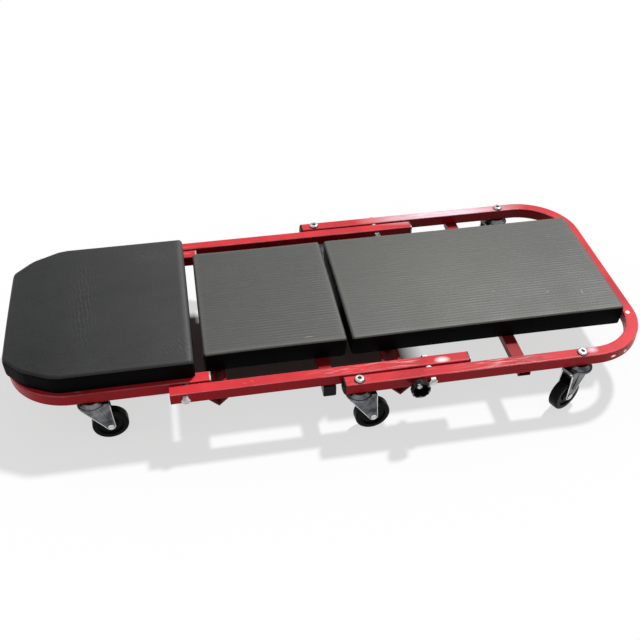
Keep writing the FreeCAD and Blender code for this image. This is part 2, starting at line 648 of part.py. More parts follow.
def lock_knob():
    """A cup-shaped pull knob with a scalloped rim, open towards -Y."""
    base = knob_floor_y()
    radius, foot, hole = KNOB_DIAMETER / 2, KNOB_FOOT / 2, KNOB_SCREW / 2
    points = [
        (hole, 0, 0), (foot, 0, 0), (radius, 0, -KNOB_FLARE), (radius, 0, -KNOB_DEPTH),
        (radius - KNOB_RIM, 0, -KNOB_DEPTH), (foot - KNOB_RIM, 0, -KNOB_FLOOR), (hole, 0, -KNOB_FLOOR),
    ]
    knob = Part.Face(polygon(points)).revolve(Vector(0, 0, 0), Z_AXIS, 360)
    for i in range(KNOB_SCALLOPS):
        angle = 2 * math.pi * i / KNOB_SCALLOPS
        reach = radius + SCALLOP_RADIUS - SCALLOP_DEPTH
        groove = (reach * math.cos(angle), reach * math.sin(angle), -KNOB_DEPTH)
        knob = knob.cut(cylinder(SCALLOP_RADIUS, KNOB_DEPTH, groove))
    knob.rotate(Vector(0, 0, 0), X_AXIS, -90)
    knob.translate(Vector(LOCK_X, base, RAIL_MID))
    return knob


def lock_knob_screw():
    """The screw in the bottom of the knob's cup."""
    seat = knob_floor_y() - KNOB_FLOOR
    head = cylinder(KNOB_SCREW_HEAD / 2, KNOB_SCREW_HEAD_HEIGHT, (LOCK_X, seat, RAIL_MID), Vector(0, -1, 0))
    return head.fuse(cylinder(KNOB_SCREW / 2, KNOB_SCREW_LENGTH, (LOCK_X, seat, RAIL_MID), Y_AXIS))


def lock_bush():
    """The sleeve in the tail rail that guides the pin."""
    base = (LOCK_X, -TAIL_OUT, RAIL_MID)
    bore = cylinder(LOCK_PIN / 2 + LOCK_FIT, TUBE, base, Y_AXIS)
    return cylinder(LOCK_BUSH / 2, TUBE, base, Y_AXIS).cut(bore)


def tail_section():
    """Root section: U frame, cross members, pad, plugs, caster bolts, rear hinge and the lock's bush."""
    front = REAR_HINGE_X - TAIL_OVERHANG
    bend = REAR_HINGE_X + TAIL_REACH - TUBE / 2
    frame = bent_tube(front, bend, TAIL_RAIL_Y)
    offsets = (-TAIL_CASTER_FRONT, TAIL_CASTER_REAR)
    stems = [(REAR_HINGE_X + x, s * TAIL_RAIL_Y) for x in offsets for s in (-1, 1)]
    cutters = [hinge_hole(REAR_HINGE_X)] + [stem_hole(x, y, TUBE) for x, y in stems]
    cutters.append(cylinder(LOCK_BUSH / 2, TUBE, (LOCK_X, -TAIL_OUT, RAIL_MID), Y_AXIS))
    plug = end_plug(True)
    stop = stop_bar(TAIL_STOP_X, TAIL_OUT - STOP_END_INSET)
    bar = cross_tube(TAIL_BAR_X, TAIL_BAR_WIDTH, TAIL_BAR_DEPTH, TAIL_OUT - TAIL_BAR_END_INSET)
    under = board(*TAIL_PAD_X, RAIL_HEIGHT, BOARD_THICK)
    top = RAIL_HEIGHT + SCREW_BITE
    ys = (-PAD_SCREW_SPACING / 2, PAD_SCREW_SPACING / 2)
    floor = RAIL_HEIGHT - TAIL_BAR_DEPTH
    ridge = RAIL_HEIGHT - STOP_LEG / math.sqrt(2)
    rows = [(TAIL_BAR_X, floor), (TAIL_STOP_X, ridge)]
    holes = [screw_hole(x, y, seat, top) for x, seat in rows for y in ys]
    sides = [hinge(REAR_HINGE_X, TAIL_OUT, MID_IN, s) for s in (-1, 1)]
    return {
        "tail_frame": frame.cut(cutters),
        "tail_cross_bar": bar.cut(holes),
        "tail_stop_bar": stop.cut(holes),
        "tail_end_plugs": [plug.translated(Vector(front, s * TAIL_RAIL_Y, RAIL_MID)) for s in (-1, 1)],
        "tail_pad_board": under.cut(holes),
        "tail_pad": straight_pad(*TAIL_PAD_X),
        "tail_pad_screws": [pad_screw(x, y, seat, top) for x, seat in rows for y in ys],
        "tail_caster_bolts": [caster_bolt(x, y) for x, y in stems],
        "tail_caster_nuts": [lock_nut((x, y, fork_underside()), -Z_AXIS) for x, y in stems],
        "tail_caster_cups": [caster_cup(x, y) for x, y in stems],
        "tail_caster_races": [caster_race(x, y) for x, y in stems],
        "rear_hinge_bolts": [s[0] for s in sides],
        "rear_hinge_spacers": [s[1] for s in sides],
        "rear_hinge_nuts": [s[2] for s in sides],
        "lock_bush": lock_bush(),
    }


def mid_rail(side):
    """One straight middle rail with its hinge holes; the near one also takes the lock pin."""
    x0, x1 = FRONT_HINGE_X - MID_FRONT_STUB, REAR_HINGE_X + MID_REAR_STUB
    rail = straight_tube(x0, x1, side * MID_RAIL_Y)
    cutters = [hinge_hole(REAR_HINGE_X), hinge_hole(FRONT_HINGE_X)]
    if side < 0:
        base = (LOCK_X, -MID_OUT, RAIL_MID)
        cutters.append(cylinder(LOCK_PIN / 2 + SIDE_PLAY, TUBE_WALL, base, Y_AXIS))
    return rail.cut(cutters)


def mid_section():
    """Middle section: two rails, stop bar, cross tube with plugs, pad and the front hinge."""
    stop = stop_bar(MID_STOP_X, MID_OUT - STOP_END_INSET)
    tube = cross_tube(MID_TUBE_X, TUBE, TUBE, MID_OUT)
    plug = end_plug(False)
    plugs = []
    for side in (-1, 1):
        copy = placed(plug, 0, 0, -90 * side)
        copy.translate(Vector(MID_TUBE_X, side * MID_OUT, RAIL_HEIGHT - TUBE / 2))
        plugs.append(copy)
    top = RAIL_HEIGHT + SCREW_BITE
    ys = (-PAD_SCREW_SPACING / 2, PAD_SCREW_SPACING / 2)
    rows = [(MID_TUBE_X, RAIL_HEIGHT - TUBE), (MID_STOP_X, RAIL_HEIGHT - STOP_LEG / math.sqrt(2))]
    holes = [screw_hole(x, y, seat, top) for x, seat in rows for y in ys]
    sides = [hinge(FRONT_HINGE_X, MID_OUT, HEAD_IN, s) for s in (-1, 1)]
    return {
        "mid_rail_near": mid_rail(-1),
        "mid_rail_far": mid_rail(1),
        "mid_stop_bar": stop.cut(holes),
        "mid_cross_tube": tube.cut(holes),
        "mid_tube_plugs": plugs,
        "mid_pad_board": board(*MID_PAD_X, RAIL_HEIGHT, BOARD_THICK).cut(holes),
        "mid_pad": straight_pad(*MID_PAD_X),
        "mid_pad_screws": [pad_screw(x, y, seat, top) for x, seat in rows for y in ys],
        "front_hinge_bolts": [s[0] for s in sides],
        "front_hinge_spacers": [s[1] for s in sides],
        "front_hinge_nuts": [s[2] for s in sides],
    }


def head_section():
    """Head section: U frame, board, pad and the stems of its two casters."""
    bend = FRONT_HINGE_X - HEAD_REACH + TUBE / 2
    frame = bent_tube(FRONT_HINGE_X + HEAD_STUB, bend, HEAD_RAIL_Y)
    stems = [(FRONT_HINGE_X - HEAD_CASTER, s * HEAD_RAIL_Y) for s in (-1, 1)]
    seat = RAIL_HEIGHT + TUBE_WALL
    top = RAIL_TOP + HEAD_SCREW_BITE
    screw_y = HEAD_RAIL_Y - HEAD_SCREW_INSET
    rows = (FRONT_HINGE_X - HEAD_REACH + HEAD_SCREW_FRONT, FRONT_HINGE_X - HEAD_SCREW_REAR)
    spots = [(x, s * screw_y) for x in rows for s in (-1, 1)]
    holes = [screw_hole(x, y, RAIL_HEIGHT, top) for x, y in spots]
    cutters = [hinge_hole(FRONT_HINGE_X)] + [stem_hole(x, y, TUBE_WALL) for x, y in stems] + holes
    return {
        "head_frame": frame.cut(cutters),
        "head_pad_board": head_board().cut(holes),
        "head_pad": head_pad(),
        "head_pad_screws": [pad_screw(x, y, RAIL_HEIGHT, top) for x, y in spots],
        "head_caster_stems": [caster_stem(x, y, seat) for x, y in stems],
        "head_caster_nuts": [lock_nut((x, y, seat), Z_AXIS) for x, y in stems],
        "head_caster_cups": [caster_cup(x, y) for x, y in stems],
        "head_caster_races": [caster_race(x, y) for x, y in stems],
    }


def casters():
    """Fork, axle and wheel of each caster, turned the way it trails."""
    places = {
        "tail_front": (REAR_HINGE_X - TAIL_CASTER_FRONT, TAIL_RAIL_Y),
        "tail_rear": (REAR_HINGE_X + TAIL_CASTER_REAR, TAIL_RAIL_Y),
        "head": (FRONT_HINGE_X - HEAD_CASTER, HEAD_RAIL_Y),
    }
    pieces = {"fork": caster_fork(), "axle": caster_axle(), "wheel": caster_wheel()}
    nodes = {}
    for name, turn in CASTER_ANGLES_DEG.items():
        place, side = name.rsplit("_", 1)
        x, y = places[place]
        for piece, shape in pieces.items():
            nodes[f"{name}_{piece}"] = placed(shape, x, -y if side == "near" else y, turn)
    return nodes


def main():
    """Build every node and write it to its own file."""
    os.makedirs("parts", exist_ok=True)
    nodes = {}
    nodes.update(tail_section())
    nodes.update(mid_section())
    nodes.update(head_section())
    nodes.update(casters())
    nodes["lock_pin"] = lock_pin()
    nodes["lock_knob"] = lock_knob()
    nodes["lock_knob_screw"] = lock_knob_screw()
    for name, shape in nodes.items():
        group = shape if isinstance(shape, list) else [shape]
        solids = [solid for piece in group for solid in piece.Solids]
        whole = solids[0] if len(solids) == 1 else Part.makeCompound(solids)
        whole.exportStep(f"parts/{name}.step")
        print(f"{name}: {len(solids)} solids, {whole.Volume / 1000:.1f} cm3, valid {whole.isValid()}")


main()
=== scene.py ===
# %% [markdown]
# # A folding mechanic's creeper
# The object is a low bed on six casters that folds into a seat: three sections of red square tube,
# each with a black vinyl pad, joined by bolts at two hinges. The metal frame arrives as finished
# solids with real joints, so this lesson dresses it: camera, light, finishes, stuffed pads and
# the small hardware that catches the light. Every new piece is worked out as numpy arrays.

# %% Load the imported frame
import json
import math

import bpy
import numpy as np
from mathutils import Matrix, Vector

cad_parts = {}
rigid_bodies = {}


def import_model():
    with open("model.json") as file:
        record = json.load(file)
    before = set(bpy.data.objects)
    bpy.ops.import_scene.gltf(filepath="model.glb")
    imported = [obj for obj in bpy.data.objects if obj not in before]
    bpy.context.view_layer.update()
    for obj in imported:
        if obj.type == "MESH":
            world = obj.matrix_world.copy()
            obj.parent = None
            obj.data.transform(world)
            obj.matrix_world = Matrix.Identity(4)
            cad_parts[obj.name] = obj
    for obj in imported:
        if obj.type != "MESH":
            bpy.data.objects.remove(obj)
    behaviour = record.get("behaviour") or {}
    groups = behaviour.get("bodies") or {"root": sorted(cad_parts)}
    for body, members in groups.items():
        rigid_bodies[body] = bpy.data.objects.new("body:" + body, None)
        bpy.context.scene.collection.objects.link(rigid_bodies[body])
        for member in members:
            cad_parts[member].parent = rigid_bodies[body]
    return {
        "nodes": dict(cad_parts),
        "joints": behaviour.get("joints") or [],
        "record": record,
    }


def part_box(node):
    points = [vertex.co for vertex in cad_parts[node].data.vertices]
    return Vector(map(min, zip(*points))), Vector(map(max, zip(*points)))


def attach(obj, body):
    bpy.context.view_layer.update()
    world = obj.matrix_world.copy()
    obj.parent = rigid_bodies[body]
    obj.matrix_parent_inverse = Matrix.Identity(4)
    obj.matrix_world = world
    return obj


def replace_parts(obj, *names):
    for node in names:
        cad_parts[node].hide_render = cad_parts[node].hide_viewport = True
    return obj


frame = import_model()
scene = bpy.context.scene
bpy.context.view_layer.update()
slot_of = {row["node"]: row["material_slot"] for row in frame["record"]["subparts"]}

# %% [markdown]
# ## Camera
# The photograph looks down on the long side from standing height, a little towards the tail. A
# camera can be placed by eye, but straight rails show every error, so its place, tilt and lens
# were solved from points of the frame that can be seen in the picture.

# %% Place the camera
EYE = Vector((-0.2025, -1.1154, 1.0328))
PITCH, YAW, ROLL = (math.radians(a) for a in (40.891, 10.227, 0.317))
FOCAL_PIXELS, FRAME_PIXELS, SENSOR = 872.0, 640, 36.0


def camera_matrix(eye, pitch, yaw, roll):
    """The view axis from heading and tilt; right and up are square to it and rolled about it."""
    reach = math.cos(pitch)
    ahead = Vector((math.sin(yaw) * reach, math.cos(yaw) * reach, -math.sin(pitch)))
    level = ahead.cross(Vector((0, 0, 1))).normalized()
    over = level.cross(ahead)
    right = math.cos(roll) * level + math.sin(roll) * over
    up = math.cos(roll) * over - math.sin(roll) * level
    return Matrix.Translation(eye) @ Matrix((right, up, -ahead)).transposed().to_4x4()


lens = bpy.data.cameras.new("camera")
lens.sensor_fit = "HORIZONTAL"
lens.sensor_width = SENSOR
lens.lens = FOCAL_PIXELS / FRAME_PIXELS * SENSOR
camera = bpy.data.objects.new("camera", lens)
camera.matrix_world = camera_matrix(EYE, PITCH, YAW, ROLL)
scene.collection.objects.link(camera)
scene.camera = camera
scene.view_settings.view_transform = "Standard"
print("lens", round(lens.lens, 2), "mm at", [round(v, 3) for v in EYE])

# %% [markdown]
# ## Grid surfaces
# Every piece below is a sheet of points with rows and columns: a pad, an axle's rim, a weld.
# One helper turns such an array into a mesh. Its columns join up into a loop; its rows do too, or
# close on a point at each end. The sign of the volume settles which way round the faces go.


# %% Turn an array of points into a mesh object
def joined(name, grids, finish=None, sharp=30, ring=False):
    """Points [row, column, xyz] of each grid become quads between neighbouring rows and columns.
    The columns close into a loop. The rows close into a ring, or else the first and last row each
    close on their mean point."""
    corners, faces, start = [], [], 0
    for grid in grids:
        rows, columns = grid.shape[:2]
        index = np.arange(rows * columns).reshape(rows, columns)
        beside = np.roll(index, -1, axis=1)
        last = rows if ring else rows - 1
        ahead, across = (np.roll(i, -1, axis=0) for i in (index, beside))
        quads = np.stack([i[:last] for i in (index, beside, across, ahead)], axis=-1).reshape(-1, 4)
        points, ends = grid.reshape(-1, 3), np.empty((0, 3), int)
        if not ring:
            points = np.concatenate([points, grid[:1].mean(1), grid[-1:].mean(1)])
            pole = np.full(columns, rows * columns)
            ends = np.concatenate([np.stack([beside[0], index[0], pole], axis=-1),
                                   np.stack([index[-1], beside[-1], pole + 1], axis=-1)])
        thirds = np.concatenate([quads[:, [0, 1, 2]], quads[:, [0, 2, 3]], ends])
        a, b, c = (points[thirds[:, i]] - points.mean(0) for i in range(3))
        turn = 1 if np.einsum("ij,ij->", a, np.cross(b, c)) > 0 else -1
        corners.append(points)
        faces += [face[::turn] for part in (quads, ends) for face in (part + start).tolist()]
        start += len(points)
    mesh = bpy.data.meshes.new(name)
    mesh.from_pydata(np.concatenate(corners), [], faces)
    mesh.shade_smooth()
    mesh.set_sharp_from_angle(angle=math.radians(sharp))
    if finish:
        mesh.materials.append(finish)
    piece = bpy.data.objects.new(name, mesh)
    scene.collection.objects.link(piece)
    return piece


# %% [markdown]
# ## Floor and light
# The tops of the rails are bright, their near sides are dark, and the pads throw short shadows
# towards the viewer, so the main light stands high behind the creeper and to the right. A sun
# lamp with a wide disc gives that one direction with soft edges, and the sky fills the rest. The
# floor is white paper that partly glows, which keeps its shadows pale. Under the pads it does not
# glow and its white turns dark grey, a painted shade, so the gaps between them look deep. It
# lights the underside only as a grey floor would.


# %% Place nodes in a shader
def add(tree, kind, wires=None, **settings):
    """One node: settings are its own properties, wires are its inputs, as values or links."""
    new = tree.nodes.new("ShaderNode" + kind)
    for key, value in settings.items():
        setattr(new, key, value)
    for key, value in (wires or {}).items():
        if isinstance(value, bpy.types.NodeSocket):
            tree.links.new(value, new.inputs[key])
        else:
            new.inputs[key].default_value = value
    return new


def combine(tree, operation, *values):
    """Values joined by one Math node."""
    return add(tree, "Math", dict(enumerate(values)), operation=operation).outputs[0]


def vectors(tree, operation, *values, result=0):
    """Vectors joined by one Vector Math node."""
    return add(tree, "VectorMath", dict(enumerate(values)), operation=operation).outputs[result]


def ramp(tree, value, low, high, start=0.0, stop=1.0):
    """A value on its way from low to high, as a share from start to stop, held at both ends."""
    return add(tree, "MapRange", {"Value": value, 1: low, 2: high, 3: start, 4: stop}).outputs[0]


def axes(tree, vector):
    """The X, Y and Z of a vector."""
    return add(tree, "SeparateXYZ", {0: vector}).outputs


def over(tree, share, under, colour):
    """A colour laid over another where the share is high."""
    return add(tree, "Mix", {0: share, 6: under, 7: (*colour, 1)}, data_type="RGBA").outputs[2]


def shade(tree, share, low, high):
    """Between two plain colours by a share."""
    return over(tree, share, (*low, 1), high)


def seen_directly(tree):
    """One for rays that show the background to the eye, straight or by a mirror or glass."""
    rays = add(tree, "LightPath").outputs
    seen = rays["Is Camera Ray"]
    for kind in ("Is Glossy Ray", "Is Transmission Ray"):
        seen = combine(tree, "MAXIMUM", seen, rays[kind])
    return seen


# %% Lay the floor
FLOOR_REACH = 12.0
SHADE_CENTRE, SHADE_REACH = (-0.07, 0.0175, 0.0), (0.24, 0.1025, 1.0)
# The dark paper colour is painted shade under the pads.
GLOW_LESS, PAPER_PAINTED_SHADE, PAPER_WHITE = 0.36, (0.28, 0.28, 0.28), (0.92, 0.92, 0.92)
PAPER_BOUNCE = (0.22, 0.22, 0.22)


def painted_shade_under_pads(tree):
    """One under the pads, where the floor takes its painted shade: falls off with the larger of the
    distances along X and Y, each as a share of its reach."""
    place = add(tree, "TexCoord").outputs["Object"]
    part = vectors(tree, "DIVIDE", vectors(tree, "SUBTRACT", place, SHADE_CENTRE), SHADE_REACH)
    size = axes(tree, vectors(tree, "ABSOLUTE", part))
    return ramp(tree, combine(tree, "MAXIMUM", size[0], size[1]), 0.82, 1.0, 1.0, 0.0)


def paper_floor():
    """White paper as the eye sees it: glow and diffuse white in shares, and under the pads a painted
    shade of dark grey without glow; unseen rays meet plain grey. From below it is clear, so that the
    underside can be looked at."""
    finish = bpy.data.materials.new("paper_floor")
    finish.use_nodes = True
    tree = finish.node_tree
    tree.nodes.clear()

    def shaders(share, first, second):
        """Two shaders mixed by a share."""
        return add(tree, "MixShader", {0: share, 1: first.outputs[0], 2: second.outputs[0]})

    floor_shade = painted_shade_under_pads(tree)
    # Under the pads the paper turns dark grey and stops glowing: painted shade.
    white = add(tree, "BsdfDiffuse", {"Color": shade(tree, floor_shade, PAPER_WHITE, PAPER_PAINTED_SHADE)})
    paper = shaders(ramp(tree, floor_shade, 0.0, 1.0, GLOW_LESS, 1.0), add(tree, "Emission"), white)
    grey = add(tree, "BsdfDiffuse", {"Color": (*PAPER_BOUNCE, 1)})
    choice = shaders(seen_directly(tree), grey, paper)
    below = add(tree, "NewGeometry").outputs["Backfacing"]
    clear = shaders(below, choice, add(tree, "BsdfTransparent"))
    add(tree, "OutputMaterial", {"Surface": clear.outputs[0]})
    return finish


sheet = np.array([[-1, -1, 0], [1, -1, 0], [1, 1, 0], [-1, 1, 0]], float) * FLOOR_REACH
floor_mesh = bpy.data.meshes.new("floor")
floor_mesh.from_pydata(sheet, [], [(0, 1, 2, 3)])
floor = bpy.data.objects.new("floor", floor_mesh)
floor_mesh.materials.append(paper_floor())
scene.collection.objects.link(floor)
print("floor", 2 * FLOOR_REACH, "m square")

# %% Hang the light
SUN_TRAVEL = Vector((-0.36, -0.40, -0.84))
SUN_POWER, SUN_DISC, SKY_FILL = 3.1, math.radians(5.0), 0.25

sun_data = bpy.data.lights.new("sun", "SUN")
sun_data.energy = SUN_POWER
sun_data.angle = SUN_DISC
sun = bpy.data.objects.new("sun", sun_data)
sun.rotation_euler = SUN_TRAVEL.to_track_quat("-Z", "Y").to_euler()
scene.collection.objects.link(sun)

sky = bpy.data.worlds.new("sky")
sky.use_nodes = True
scene.world = sky
air = sky.node_tree
level = ramp(air, seen_directly(air), 0.0, 1.0, SKY_FILL, 1.0)
background = air.nodes["Background"].inputs
background["Color"].default_value = (1, 1, 1, 1)
air.links.new(level, background["Strength"])
print("sun", SUN_POWER, "sky", SKY_FILL)

# %% [markdown]
# ## Effects that several finishes share
# Paint, plate, plastic and vinyl all drift a little in tone, carry scuffs and have some fine
# relief. Each effect is one node group with named sockets, placed in a material with its own
# numbers, so a change to it reaches every finish. The groups read Object coordinates, which
# stay fixed to the metal when the creeper folds.


# %% Build node groups for drift, scuffs, fine relief and patches
def new_group(name, places, numbers, outputs):
    """An empty group with vector inputs, float inputs with their defaults, and float outputs."""
    tree = bpy.data.node_groups.new(name, "ShaderNodeTree")
    for key in places:
        tree.interface.new_socket(key, in_out="INPUT", socket_type="NodeSocketVector")
    for key, value in numbers.items():
        socket = tree.interface.new_socket(key, in_out="INPUT", socket_type="NodeSocketFloat")
        socket.default_value = value
    for key in outputs:
        tree.interface.new_socket(key, in_out="OUTPUT", socket_type="NodeSocketFloat")
    given, out = tree.nodes.new("NodeGroupInput"), tree.nodes.new("NodeGroupOutput")
    return tree, given.outputs, out.inputs


def noise(tree, place, scale, detail):
    """Cloudy noise, about 0.5 on average."""
    return add(tree, "TexNoise", {"Vector": place, "Scale": scale, "Detail": detail}).outputs[0]


def tone_drift():
    """Slow cloudy change over a hand's breadth, from 0 to 1."""
    tree, given, out = new_group("tone_drift", ["Vector"], {"Scale": 14.0}, ["Drift"])
    cloud = noise(tree, given["Vector"], given["Scale"], 3.0)
    tree.links.new(ramp(tree, cloud, 0.32, 0.68), out["Drift"])
    return tree


def handling_scuffs():
    """Thin marks where fine noise and a patchy noise are both high; Coverage widens the patches."""
    numbers = {"Scale": 90.0, "Coverage": 0.42}
    tree, given, out = new_group("handling_scuffs", ["Vector"], numbers, ["Scuff"])
    marks = ramp(tree, noise(tree, given["Vector"], given["Scale"], 4.0), 0.60, 0.70)
    least = combine(tree, "SUBTRACT", 1.0, given["Coverage"])
    where = ramp(tree, noise(tree, given["Vector"], 11.0, 1.0), least, 0.75)
    tree.links.new(combine(tree, "MULTIPLY", marks, where), out["Scuff"])
    return tree


def fine_relief():
    """Rounded cells with noise between them: orange peel when soft, pebbled grain when sharp."""
    numbers = {"Scale": 600.0, "Cells": 0.5}
    tree, given, out = new_group("fine_relief", ["Vector"], numbers, ["Height"])
    wires = {"Vector": given["Vector"], "Scale": given["Scale"]}
    cells = add(tree, "TexVoronoi", wires, feature="SMOOTH_F1")
    soft = noise(tree, given["Vector"], given["Scale"], 3.0)
    blend = add(tree, "Mix", {0: given["Cells"], 2: soft, 3: cells.outputs[0]})
    tree.links.new(blend.outputs[0], out["Height"])
    return tree


def oval_patch():
    """A soft oval: one at its centre, zero at its reach; Core is the share that stays one."""
    places = ["Vector", "Centre", "Reach"]
    tree, given, out = new_group("oval_patch", places, {"Core": 0.3}, ["Mask"])
    away = vectors(tree, "SUBTRACT", given["Vector"], given["Centre"])
    part = vectors(tree, "DIVIDE", away, given["Reach"])
    size = vectors(tree, "LENGTH", part, result="Value")
    tree.links.new(ramp(tree, size, given["Core"], 1.0, 1.0, 0.0), out["Mask"])
    return tree


EFFECTS = {make.__name__: make() for make in (tone_drift, handling_scuffs, fine_relief, oval_patch)}
print("groups", sorted(EFFECTS))

# %% [markdown]
# ## Finishes
# The frame is red powder coat: glossy, with a faint orange peel and pale scuffs along the rails, a
# painted glare on a few tops, a painted highlight along the top corners, and painted shade on the
# inner faces and below the rails. The hardware is zinc plate, a soft mirror with a cloudy, brushed
# look: bright on the bolts, dull on the stampings, brightest where it was cut, which is partly a
# painted highlight, and with painted shade on the faces that look down. Knob, plugs and wheels are
# moulded black plastic, with painted glints on the knob's rim. The pads' vinyl is dull, with a
# painted sheen along the creeper, a paler oval over the middle of the tail pad and a painted
# highlight along the edges. A mix of two shades, driven by the shared groups, keeps each from
# looking like one flat fill, and roughness follows the same drift.


# %% Start a finish with the shared effects in place
def effect(tree, name, place, **numbers):
    """A shared group in this material, reading the given coordinates."""
    return add(tree, "Group", {"Vector": place, **numbers}, node_tree=EFFECTS[name]).outputs[0]


def start_finish(name):
    """A material with its Principled shader and its Object coordinates."""
    finish = bpy.data.materials.new(name)
    finish.use_nodes = True
    tree = finish.node_tree
    place = add(tree, "TexCoord").outputs["Object"]
    return finish, tree, tree.nodes["Principled BSDF"].inputs, place


def span(tree, share, low, high):
    """A share turned into a value between two limits."""
    return ramp(tree, share, 0.0, 1.0, low, high)


def stretched(tree, place, scale):
    """The place with each axis scaled; a pattern on it is drawn out where the scale is small."""
    return add(tree, "Mapping", {"Vector": place, "Scale": scale}).outputs[0]


def wire(tree, bsdf, colour, gloss, height, depth, strength):
    """Colour, roughness and a height as a bumped normal into the shader; depth is in metres."""
    bump = add(tree, "Bump", {"Height": height, "Distance": depth, "Strength": strength})
    values = {"Base Color": colour, "Roughness": gloss, "Normal": bump.outputs[0]}
    for key, value in values.items():
        tree.links.new(value, bsdf[key])


# %% Masks by which way the metal faces, and by place
def normal_axes(tree):
    """The X, Y and Z of the surface's normal, in the piece's own frame."""
    return axes(tree, add(tree, "TexCoord").outputs["Normal"])


def times(tree, first, second):
    """Two shares multiplied."""
    return combine(tree, "MULTIPLY", first, second)


def facing_up(tree):
    """Two masks from the height of the normal: flat tops, and the rounded corners next to them."""
    rise = normal_axes(tree)[2]
    top = ramp(tree, rise, 0.80, 0.98)
    corner = combine(tree, "SUBTRACT", ramp(tree, rise, 0.30, 0.70), top)
    return top, corner


def inner_faces(tree, place):
    """One on the sides that look to the middle: across the creeper, normal and place have opposite
    signs."""
    return ramp(tree, times(tree, axes(tree, place)[1], normal_axes(tree)[1]), -0.05, -0.14)


def patches_of(tree, place, ovals):
    """The highest of several soft ovals, each given as centre, reach and core."""
    mask = None
    for centre, reach, core in ovals:
        one = effect(tree, "oval_patch", place, Centre=centre, Reach=reach, Core=core)
        mask = one if mask is None else combine(tree, "MAXIMUM", mask, one)
    return mask


# %% Red powder coat
# Painted glare: pale pink-white patches on a few rail tops.
PAINTED_GLARE_TOPS = [
    ((0.268, 0.205, 0.104), (0.17, 0.030, 0.02), 0.25),
    ((0.396, -0.202, 0.104), (0.012, 0.009, 0.02), 0.0),
]
SCRATCHED_TOPS = [
    ((0.094, -0.181, 0.104), (0.034, 0.014, 0.02), 0.3),
    ((0.020, -0.180, 0.104), (0.080, 0.014, 0.02), 0.0),
    ((0.250, -0.204, 0.104), (0.090, 0.014, 0.02), 0.0),
]
# Painted shade: below this height the red darkens.
PAINTED_SHADE_STARTS, PAINTED_SHADE_FULL = 0.0868, 0.0838
# Painted glare: a small white spot on the near middle rail's top.
PAINTED_GLARE_SPOT = [((0.158, -0.184, 0.104), (0.014, 0.008, 0.02), 0.3)]
CHIPPED = [
    ((0.4299, -0.2118, 0.0940), (0.0056, 0.0040, 0.0026), 0.6),
    ((0.4543, -0.2020, 0.0925), (0.0042, 0.0040, 0.0026), 0.6),
    ((0.491, -0.126, 0.104), (0.004, 0.004, 0.004), 0.5),
]


def red_powder_coat():
    """Two close reds by drift. Tops are dusty and scuffed along the rails and scratched in a few
    places; a few top patches carry a painted glare and the top corners a painted highlight line;
    small chips show primer or bare metal; the inner faces and the cross members below the rails are
    darkened as painted shade."""
    finish, tree, bsdf, place = start_finish("red_powder_coat")
    drift = effect(tree, "tone_drift", place, Scale=14.0)
    top, corner = facing_up(tree)
    along = stretched(tree, place, (0.25, 1.0, 1.0))
    streak = effect(tree, "tone_drift", along, Scale=160.0)
    scuff = times(tree, effect(tree, "handling_scuffs", along, Scale=150.0, Coverage=0.46), top)
    chip = effect(tree, "handling_scuffs", place, Scale=75.0, Coverage=0.31)
    glare_patches = times(tree, patches_of(tree, place, PAINTED_GLARE_TOPS), top)
    lines = stretched(tree, place, (0.06, 1.0, 1.0))
    scratch = ramp(tree, effect(tree, "tone_drift", lines, Scale=640.0), 0.50, 0.95, 0.0, 0.55)
    scratch = times(tree, times(tree, patches_of(tree, place, SCRATCHED_TOPS), top), scratch)
    white = times(tree, patches_of(tree, place, PAINTED_GLARE_SPOT), top)
    bare = patches_of(tree, place, CHIPPED)
    painted_shade = ramp(tree, axes(tree, place)[2], PAINTED_SHADE_STARTS, PAINTED_SHADE_FULL, 0.0, 0.62)
    inner_shade = span(tree, inner_faces(tree, place), 0.0, 0.52)
    colour = shade(tree, drift, (0.53, 0.008, 0.018), (0.78, 0.014, 0.027))
    colour = over(tree, span(tree, top, 0.0, 0.035), colour, (0.80, 0.62, 0.62))
    # Painted highlight: a pale line along the top corners of the tubes.
    corner_highlight = times(tree, corner, span(tree, streak, 0.20, 0.80))
    # Painted glare on the listed top patches.
    painted_sheen = times(tree, glare_patches, span(tree, streak, 0.70, 1.00))
    colour = over(tree, corner_highlight, colour, (0.86, 0.34, 0.36))
    colour = over(tree, span(tree, scuff, 0.0, 0.55), colour, (0.86, 0.40, 0.43))
    colour = over(tree, painted_sheen, colour, (0.95, 0.82, 0.92))
    # The white spot is painted glare; the scratches are real wear.
    for mark in (scratch, white):
        colour = over(tree, mark, colour, (0.92, 0.84, 0.84))
    for mark in (chip, bare):
        colour = over(tree, mark, colour, (0.82, 0.78, 0.76))
    # Painted shade: dark red on the inner faces and below the rails.
    colour = over(tree, inner_shade, colour, (0.075, 0.002, 0.005))
    colour = over(tree, painted_shade, colour, (0.075, 0.004, 0.007))
    tree.links.new(bare, bsdf["Metallic"])
    peel = effect(tree, "fine_relief", place, Scale=420.0, Cells=0.3)
    wire(tree, bsdf, colour, span(tree, drift, 0.26, 0.40), peel, 0.0002, 0.22)
    bsdf["Specular IOR Level"].default_value = 0.16
    return finish


